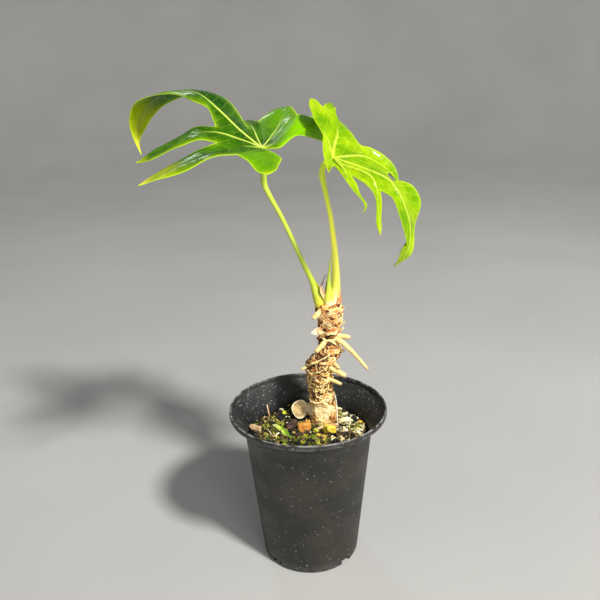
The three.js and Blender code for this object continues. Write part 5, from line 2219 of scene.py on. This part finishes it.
@dataclass(frozen=True)
class LoosePiece:
    """One larger loose piece on the soil.

    Args:
        node: The plain solid that it stands for.
        place: x and y of its middle, in millimetres.
        size: Length, width and height.
        turn: Turn about the vertical, in degrees.
        shape: Chip or stone.
        finish: Its finish.
        slot: Its material slot; not used.
    """

    node: str
    place: tuple[float, float]
    size: tuple[float, float, float]
    turn: float
    shape: Shape
    finish: GrownFinish
    slot: str

    def build(self, seed: int) -> Piece:
        """Builds the piece: a broken, weathered block, or a worn and pitted stone.

        Args:
            seed: Picks its shape.

        Returns:
            The piece.
        """
        deselect()
        if self.shape is Shape.CHIP:
            bpy.ops.mesh.primitive_cube_add(size=1)
        else:
            bpy.ops.mesh.primitive_ico_sphere_add(subdivisions=5, radius=0.5)
        piece = bpy.context.object
        piece.name = self.node + "_rough"
        if self.shape is Shape.CHIP:
            self.break_edges(piece, seed)
        points = coordinates(piece)
        shift = seed * 3.7
        broad = field_noise(points, 1.9, shift) * 0.26
        pits = field_noise(points, 5.5, shift + 2) * 0.09 + field_noise(points, 14, shift + 5) * 0.035
        layers = np.sin(points[:, 2] * 26 + 5 * broad) * (0.018 if self.shape is Shape.CHIP else 0)
        grow = 1 + broad + pits + layers
        points = points * grow[:, None] * 0.93 * np.array(self.size) * MM
        spin = np.array(Matrix.Rotation(math.radians(self.turn), 3, "Z"))
        points = points @ spin.T
        floor = LITTER_LEVEL - points[:, 2].min()
        points += (self.place[0] * MM, self.place[1] * MM, floor)
        set_coordinates(piece, points)
        store(piece, "tone", np.clip(0.55 + 1.4 * broad + 3 * pits, 0, 1))
        smooth_shade(piece, 40)
        return settle(piece, [self.node], self.finish.material())

    @staticmethod
    def break_edges(piece: Piece, seed: int) -> None:
        """Breaks a few corners off a block, bevels it and gives it fine faces.

        Args:
            piece: The block.
            seed: Picks the corners.
        """
        draw = random.Random(seed)
        with editing(piece):
            for _ in range(5):
                facing = Vector([draw.gauss(0, 1) for _ in range(3)]).normalized()
                bpy.ops.mesh.select_all(action="SELECT")
                bpy.ops.mesh.bisect(plane_co=facing * draw.uniform(0.34, 0.5), plane_no=facing,
                                    use_fill=True, clear_outer=True)
        apply_modifier(piece, "BEVEL", width=0.035, segments=2)
        apply_modifier(piece, "REMESH", mode="VOXEL", voxel_size=0.045)


ORANGE_BARK = GrownFinish(
    "orange bark", 0.75,
    ((0.0, (0.2, 0.06, 0.01)), (0.35, (0.62, 0.24, 0.03)), (0.7, (0.88, 0.42, 0.06)),
     (1.0, (0.98, 0.62, 0.18))),
    (0.25, 0.08, 0.02), 0.35, 800.0, 0.0003)
DARK_BARK = GrownFinish(
    "dark bark", 0.7,
    ((0.0, (0.015, 0.008, 0.006)), (0.5, (0.06, 0.03, 0.018)), (1.0, (0.18, 0.09, 0.05))),
    (0.01, 0.006, 0.005), 0.5, 700.0, 0.0003)
CORK = GrownFinish(
    "weathered cork", 0.8,
    ((0.0, (0.2, 0.1, 0.04)), (0.35, (0.62, 0.38, 0.18)), (0.7, (0.9, 0.66, 0.36)),
     (1.0, (1.0, 0.86, 0.6))),
    (0.2, 0.1, 0.05), 0.35, 700.0, 0.0003)
YELLOW_STONE = GrownFinish(
    "yellow pumice", 0.8,
    ((0.0, (0.5, 0.3, 0.02)), (0.35, (0.95, 0.72, 0.04)), (0.75, (1.0, 0.86, 0.14)),
     (1.0, (0.95, 0.86, 0.4))),
    (0.5, 0.28, 0.03), 0.25, 900.0, 0.0003)
OLIVE_STONE = GrownFinish(
    "olive stone", 0.6,
    ((0.0, (0.07, 0.07, 0.01)), (0.5, (0.26, 0.25, 0.03)), (1.0, (0.5, 0.46, 0.1))),
    (0.06, 0.05, 0.01), 0.35, 900.0, 0.0002)
AMBER_STONE = GrownFinish(
    "amber pebble", 0.4,
    ((0.0, (0.3, 0.12, 0.01)), (0.5, (0.78, 0.42, 0.03)), (1.0, (0.92, 0.62, 0.1))),
    (0.5, 0.2, 0.02), 0.25, 900.0, 0.0001, sheen=0.3)
LOOSE_PIECES = (
    LoosePiece("cork_scrap_left", (-41.2, 4.4), (9.4, 5.4, 4.8), -28, Shape.CHIP, CORK, "bark"),
    LoosePiece("dark_bark_chip_left", (-13, 6), (9.5, 7, 6), 20, Shape.CHIP, DARK_BARK, "bark"),
    LoosePiece("orange_bark_chip", (-3, 3), (12.5, 8.5, 6), 18, Shape.CHIP, ORANGE_BARK, "bark"),
    LoosePiece("dark_bark_chip_front", (-7, -5.5), (7, 4.5, 2.6), 30, Shape.CHIP, DARK_BARK, "bark"),
    LoosePiece("dark_bark_chip_right", (25, -7), (8, 5, 3), -20, Shape.CHIP, DARK_BARK, "bark"),
    LoosePiece("yellow_pumice", (16.4, -4.6), (8.4, 8, 9.4), 25, Shape.CHIP, YELLOW_STONE, "stone"),
    LoosePiece("olive_stone", (5.5, -15), (7, 5, 3.4), 0, Shape.STONE, OLIVE_STONE, "stone"),
    LoosePiece("amber_pebble", (7, -7.5), (4.6, 3.8, 3.2), 0, Shape.STONE, AMBER_STONE, "stone"),
    LoosePiece("orange_pebble", (41, 11), (4.4, 4, 3.4), 0, Shape.STONE, AMBER_STONE, "stone"),
    LoosePiece("perlite_front", (29, 3), (5.4, 4.4, 3.4), 30, Shape.STONE, PERLITE, "stone"),
    LoosePiece("perlite_middle", (34, 12), (4.6, 4, 3), 70, Shape.STONE, PERLITE, "stone"),
    LoosePiece("perlite_side", (36, -5), (6, 4, 3.2), 15, Shape.STONE, PERLITE, "stone"),
    LoosePiece("perlite_back", (30, 24), (5, 4.2, 3.4), 0, Shape.STONE, PERLITE, "stone"),
    LoosePiece("gravel_back_right", (26, 33), (5.4, 4.6, 3.6), 40, Shape.STONE, PERLITE, "stone"),
    LoosePiece("gravel_back", (10, 40), (5.2, 4, 3.2), 10, Shape.STONE, OLIVE_STONE, "stone"),
    LoosePiece("gravel_left", (-33, -4), (4.8, 3.8, 3), 0, Shape.STONE, OLIVE_STONE, "stone"),
    LoosePiece("gravel_back_left", (-22, 34), (5, 4.2, 3.2), 55, Shape.STONE, PERLITE, "stone"),
)


LITTER_STRAPS = (
    Strap("bark_strip_rough", "bark_strip", "bark",
          ((5.5, 1.5, 102.2, 1.3), (11, 2.2, 103.4, 1.8), (17, 3.6, 104.2, 1.9), (23, 6.4, 103.6, 1.1)),
          (0.1, 0.5, 1), GrownFinish("brown bark strip", 0.75, (
              (0.0, (0.9, 0.62, 0.4)), (0.5, (0.8, 0.5, 0.3)), (0.75, (0.6, 0.2, 0.05)),
              (1.0, (0.9, 0.7, 0.45))), (0.12, 0.04, 0.02), 0.45), 0.8, 0.35, 0.5, 3),
    Strap("green_strap", "liverwort_strap", "moss",
          ((-26, 10, 102.6, 0.9), (-21.8, 3.5, 103.6, 1.6), (-17.6, -2.6, 103.2, 1.6),
           (-13.4, -9, 102.2, 0.6)), (0.8, 0.6, 0.2),
          GrownFinish("green strap skin", 0.5, (
              (0.0, (0.85, 0.9, 0.3)), (0.2, (0.55, 0.7, 0.05)), (0.45, (0.16, 0.36, 0.005)),
              (1.0, (0.08, 0.22, 0.002))), (0.4, 0.55, 0.04), 0.25), 0.9, 0.6, 0.35, 6),
    Strap("pale_strap", None, "moss",
          ((-27.5, 9.4, 103.2, 0.8), (-24.2, 4.4, 104.2, 1.2), (-20.6, -1.6, 103.6, 1.1),
           (-17.6, -6.4, 102.6, 0.5)), (0.8, 0.6, 0.3),
          GrownFinish("pale strap skin", 0.5, (
              (0.0, (0.95, 0.95, 0.6)), (0.3, (0.85, 0.92, 0.2)), (1.0, (0.45, 0.6, 0.04))),
              (0.3, 0.4, 0.05), 0.3), 0.9, 0.5, 0.35, 7),
    Strap("flat_pale_chip", None, "stone",
          ((24, 11.5, 103.4, 1.5), (28.5, 13.5, 104, 1.9), (33, 14, 103.6, 1.6)), (0.1, 0.8, 0.6),
          PERLITE, 1.2, 0.2, 0.3, 2),
    Strap("pale_fibre", None, "root",
          ((-34.5, 6.5, 104, 0.3), (-31, 0, 103.8, 0.32), (-27.5, -6.5, 103, 0.3)), (0.8, 0.4, 0.4),
          PALE_FIBRE, 0.5, 0.2, 0.15, 4),
    Strap("pale_fibre_end", None, "root",
          ((-27.6, -8.6, 102.8, 0.5), (-25.8, -7.6, 103.2, 1.1), (-22.8, -4, 104, 0.5)),
          (0.8, -0.4, 0.4), PALE_FIBRE, 0.9, 0.3, 0.2, 8),
)


def build_litter() -> None:
    """Builds the larger loose pieces on the soil."""
    for seed, piece in enumerate(LOOSE_PIECES):
        piece.build(seed + 3)
    for strap in LITTER_STRAPS:
        strap.build()
    stations = ((-31, 24, 101.8, 0.6), (-32, 27, 106, 0.55), (-33, 29, 111, 0.4))
    twig = Tube("pale_stick", stations, 10, 0.4, (0.2, 0.3), 0.2, 700).build()
    settle(twig, ["pale_twig"], CORK.material())


# ------------------------------------------------------------------ studio
@dataclass(frozen=True)
class FloorFinish(Finish):
    """A pale matte floor."""

    def paint(self, graph: Graph, shader: Node, place: Socket) -> None:
        """Paints an even floor; Finish.paint names the arguments."""
        cloud = graph.noise(place, 3.0, 2)
        self.feed(graph, shader, Base_Color=graph.ramp(cloud, (0.3, (0.4, 0.4, 0.4)),
                                                       (0.7, (0.44, 0.44, 0.435))))


@dataclass(frozen=True)
class SoftLight:
    """One large soft lamp.

    Args:
        name: Its name.
        place: Where it hangs, in metres.
        size: How wide it is, in metres.
        power: Its strength, in watts.
        colour: Colour of its light.
        target: The point that it shines on.
    """

    name: str
    place: Station
    size: float
    power: float
    colour: Station = (1.0, 1.0, 1.0)
    target: Station = (0.0, 0.0, 0.18)

    def build(self) -> None:
        """Hangs the lamp and turns it to its target."""
        lamp = bpy.data.lights.new(self.name, "AREA")
        lamp.shape = "DISK"
        lamp.size = self.size
        lamp.energy = self.power
        lamp.color = self.colour
        holder = bpy.data.objects.new(self.name, lamp)
        bpy.context.collection.objects.link(holder)
        holder.location = self.place
        aim = Vector(self.target) - Vector(self.place)
        holder.rotation_euler = aim.to_track_quat("-Z", "Y").to_euler()


@dataclass
class Studio:
    """Floor, lights, sky and camera.

    Args:
        eye: Place of the camera.
        pitch: How far it looks down, in degrees.
        roll: How far it leans, in degrees.
        lens: Its focal length, in millimetres.
        lamps: The lamps.
        sky: Colour of the even light from all round.
        sky_power: Strength of that light.
        floor_sides: Faces round the floor.
    """

    eye: Station = (-0.0039, -0.4468, 0.3577)
    pitch: float = 18.34
    roll: float = -1.49
    lens: float = 39.0
    lamps: tuple[SoftLight, ...] = (
        SoftLight("key", (1.3, -1.5, 2.2), 0.4, 120.0, (1.0, 0.97, 0.9)),
        SoftLight("fill", (-2.0, -1.7, 1.2), 1.4, 3.5, (0.93, 0.97, 1.0)),
        SoftLight("back", (-0.7, 2.0, 2.1), 0.4, 7.0),
        SoftLight("front", (0.9, -2.1, 0.95), 1.2, 19.0),
    )
    sky: Station = (0.92, 0.95, 1.0)
    sky_power: float = 0.17
    floor_sides: int = 96

    def build(self) -> None:
        """Sets up everything that isn't the plant."""
        scene = bpy.context.scene
        scene.view_settings.view_transform = "Standard"
        world = bpy.data.worlds.new("soft sky")
        world.use_nodes = True
        background = world.node_tree.nodes["Background"]
        background.inputs["Color"].default_value = (*self.sky, 1)
        background.inputs["Strength"].default_value = self.sky_power
        scene.world = world
        for lamp in self.lamps:
            lamp.build()
        self.lay_floor()
        self.place_camera()

    def lay_floor(self) -> None:
        """Spins a pale floor that curves up far away, all round the plant."""
        outline = [(0.001, 0), (0.4, 0), (1.0, 0), (1.8, 0), (2.4, 0.02), (2.8, 0.14), (3.1, 0.4),
                   (3.25, 0.8), (3.3, 1.6), (3.3, 3.2)]

        def place(column: Array, row: Array) -> Placed:
            turn = column / self.floor_sides * FULL_TURN
            radius, level = np.array(outline)[row].T
            return round_about(turn, radius, level - 0.0002), {}

        floor = shaped_grid("studio_floor", self.floor_sides, len(outline) - 1, place)
        weld(floor, recalculate=False)
        smooth_shade(floor, 80)
        dress(floor, FloorFinish("pale floor", 0.9).material())

    def place_camera(self) -> None:
        """Places the camera."""
        lens = bpy.data.cameras.new("camera")
        lens.sensor_width = 36.0
        lens.lens = self.lens
        camera = bpy.data.objects.new("camera", lens)
        bpy.context.collection.objects.link(camera)
        pitch, roll = math.radians(self.pitch), math.radians(self.roll)
        forward = Vector((0, math.cos(pitch), -math.sin(pitch)))
        right = Vector((1, 0, 0))
        up = Vector((0, math.sin(pitch), math.cos(pitch)))
        side = math.cos(roll) * right + math.sin(roll) * up
        top = -math.sin(roll) * right + math.cos(roll) * up
        turn = Matrix((side, top, -forward)).transposed()
        camera.matrix_world = Matrix.Translation(self.eye) @ turn.to_4x4()
        bpy.context.scene.camera = camera


# ------------------------------------------------------------------ leaf lines
# A blade's hub, then the webs between its lobes, then the lobes in order round the hub. Each side of
# a lobe has as many points as its vein: those of its web, those of its free edge and the tip.
LEFT_HUB = (-27, 5, 317)
LEFT_WEBS = (
    ((-34, -6, 317), (-42, -22, 316)),
    ((-39, -2, 321), (-56, -12, 323)),
    ((-42, 6, 325), (-58, 8, 332)),
    ((-34, 14, 323), (-38, 30, 330)),
    ((-27, 19, 322), (-31, 46, 333)),
    ((-17, 18, 323), (-2, 46, 337)),
)
# The near base, far mid and far base lobes are lifted with painted light, the far base most, which lies in
# the right blade's shade.
LEFT_LOBES = (
    # near base
    Lobe(((-25, -4, 316), (-24, -12, 313), (-23, -20, 310), (-22, -27, 307), (-22, -32, 304)),
         ((-22, -3, 316), (-14, -10, 312), (-15, -18, 309), (-17, -26, 306)),
         ((-35, -26, 312), (-29, -31, 306)), rib_end=0.0, painted_light=0.35),
    # near low
    Lobe(((-38, -4, 319), (-50, -14, 319), (-62, -24, 317), (-74, -34, 313), (-88, -44, 307),
          (-100, -54, 302)),
         ((-56, -34, 316), (-72, -45, 309), (-88, -52, 305)),
         ((-67, -15, 319), (-80, -25, 313), (-92, -38, 307)), yellow=44, rib_end=0.1),
    # near mid
    Lobe(((-41, 2, 323), (-54, -1, 328), (-66, -4, 329), (-79, -7, 326), (-95, -10, 317),
          (-110, -12, 311)),
         ((-67, -14, 325), (-80, -18, 321), (-97, -18, 314)),
         ((-71, 7, 332), (-86, 4, 324), (-102, -2, 317)), yellow=14, rib_end=0.42),
    # terminal
    Lobe(((-42, 10, 329), (-57, 18, 343), (-71, 27, 353), (-85, 36, 355), (-100, 45, 354),
          (-115, 53, 344), (-123, 58, 331), (-124, 60, 319), (-122, 60, 309)),
         ((-63, 12, 344), (-76, 20, 349), (-94, 33, 354), (-118, 45, 349), (-127, 53, 336),
          (-126, 57, 322)),
         ((-51, 42, 347), (-69, 52, 354), (-91, 62, 350), (-109, 68, 341), (-118, 67, 329),
          (-123, 63, 320)), yellow=62, rib_end=0.5),
    # far low
    Lobe(((-31, 17, 323), (-35, 34, 330), (-41, 50, 333), (-48, 66, 329), (-54, 78, 321)),
         ((-45, 47, 332), (-52, 62, 327)),
         ((-37, 60, 332), (-46, 76, 325)), rib_end=0.4, rib=0.6),
    # far mid
    Lobe(((-22, 18, 322), (-15, 40, 331), (-13, 60, 341), (-14, 78, 338), (-16, 90, 326)),
         ((-24, 60, 338), (-23, 77, 336)),
         ((-7, 64, 342), (-7, 81, 335)), rib_end=0.42, rib=0.6, painted_light=0.3),
    # far base
    Lobe(((-17, 9, 320), (-6, 20, 325), (5, 33, 329), (14, 45, 329), (21, 54, 324), (26, 60, 316)),
         ((8, 52, 335), (15, 60, 333), (23, 64, 326)),
         ((-17, 3, 317), (-13, 7, 318), (-3, 19, 324), (9, 37, 320), (19, 50, 316)), rib_end=0.1,
         painted_light=1.0),
)
RIGHT_HUB = (21, 6, 309)
RIGHT_WEBS = (
    ((21, -3, 308), (21, -10, 306)),
    ((26, -8, 305), (32, -16, 300)),
    ((32, -4, 304), (42, -11, 300), (51, -19, 290)),
    ((34, 3, 307), (46, 5, 303), (58, 4, 298)),
    ((26, 12, 315), (32, 22, 319), (36, 33, 324)),
    ((20, 11, 316), (19, 20, 325), (19, 30, 335), (16, 38, 342)),
)
RIGHT_LOBES = (
    # near base
    Lobe(((19, -3, 309), (18, -9, 307), (17, -14, 306), (17, -18, 304), (17, -21, 303)),
         ((18, 1, 316), (15, 2, 326), (14, -6, 317), (15, -15, 309)),
         ((19, -18, 306), (18, -21, 305)), rib_end=0.3),
    # near low
    Lobe(((23, -6, 308), (27, -15, 304), (30, -25, 298), (34, -34, 292), (39, -40, 286),
          (37, -42, 280)),
         ((26, -30, 301), (31, -39, 294), (38, -43, 286)),
         ((35, -23, 295), (37, -31, 290), (40, -37, 284)), rib_end=0.5),
    # near mid
    Lobe(((29, -6, 305), (38, -14, 303), (45, -20, 299), (48, -24, 291), (48, -26, 282), (49, -27, 273),
          (50, -28, 262)),
         ((40, -27, 296), (45, -32, 290), (47, -33, 282), (47, -31, 271)),
         ((52, -21, 281), (51, -23, 272), (51, -26, 266))),
    # terminal
    Lobe(((32, 0, 306), (44, -5, 302), (54, -9.5, 298), (60, -13, 293), (65, -16.5, 285),
          (68.6, -19.6, 275), (70.6, -21, 265), (70.6, -20.8, 255), (68, -19, 246), (61, -15, 237)),
         ((58, -24, 286), (62, -29, 276), (65, -31, 265), (68, -28, 254.5), (64.5, -27, 252),
          (63, -20, 242)),
         ((61.8, 3, 293.6), (70, 7, 292), (78, 8, 287.5), (82, 4, 277), (77, -4, 263), (74, -11, 245))),
    # far low
    Lobe(((29, 6, 310), (37, 9, 310), (43, 12, 309), (50, 15, 306), (56, 17, 302), (61, 19, 298),
          (66, 20, 293), (70, 20, 285)),
         ((60.8, 6, 298), (63.7, 10, 295.2), (66.3, 14, 292.4), (69, 18, 288.5)),
         ((42, 27, 316), (49, 25, 314), (59, 24, 308), (67, 23, 299))),
    # far mid
    Lobe(((22, 12, 316), (25, 22, 323), (26, 31, 330), (25, 40, 338), (23, 50, 344), (23, 61, 343),
          (24, 71, 336)),
         ((32, 42, 328), (26, 48.5, 333.6), (26.8, 56, 340.5)),
         ((18, 45, 344), (20, 58, 343)), rib_end=0.35),
    # far base
    Lobe(((19, 10, 316), (17, 16, 323), (14, 22, 331), (11, 29, 339), (9, 34, 345), (7, 37, 348)),
         ((11, 42, 347),),
         ((19, 5, 313), (17, 10, 319), (13, 14, 328), (9, 20, 335), (6, 28, 344)), rib_end=0.4),
)


def main() -> None:
    """Builds the whole plant, then the studio."""
    logging.basicConfig(level=logging.INFO, format="%(name)s: %(message)s")
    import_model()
    FlaredPot().build()
    SoilTop().build()
    build_litter()
    build_grown()
    # The left top glows a little: painted light that lifts its shaded lobes.
    left_top = LeafFinish("left leaf top", 0.36, (0.007, 0.05, 0.0), (0.05, 0.155, 0.0),
                          (0.5, 0.62, 0.1), (0.42, 0.62, 0.02), margin_share=0.8, painted_glow=0.06)
    left_under = LeafFinish("left leaf underside", 0.5, (0.12, 0.23, 0.002), (0.22, 0.32, 0.004),
                            (0.42, 0.55, 0.04), (0.4, 0.55, 0.03), coat=0.05)
    right_top = LeafFinish("right leaf top", 0.38, (0.1, 0.26, 0.0), (0.3, 0.46, 0.002),
                           (0.66, 0.74, 0.08), (0.5, 0.66, 0.02), rib_share=0.55, line_share=0.2,
                           margin_share=0.45)
    right_under = LeafFinish("right leaf underside", 0.5, (0.26, 0.38, 0.002), (0.36, 0.48, 0.004),
                             (0.65, 0.76, 0.1), (0.65, 0.76, 0.05), rib_share=0.75, coat=0.05)
    LeafBlade("left_blade", "left_leaf_blade", "left_blade", LEFT_HUB, LEFT_WEBS, LEFT_LOBES,
              (left_top, left_under), seed=3.0).build()
    LeafBlade("right_blade", "right_leaf_blade", "right_blade", RIGHT_HUB, RIGHT_WEBS, RIGHT_LOBES,
              (right_top, right_under), seed=7.0).build()
    Studio().build()


if __name__ == "__main__":
    main()
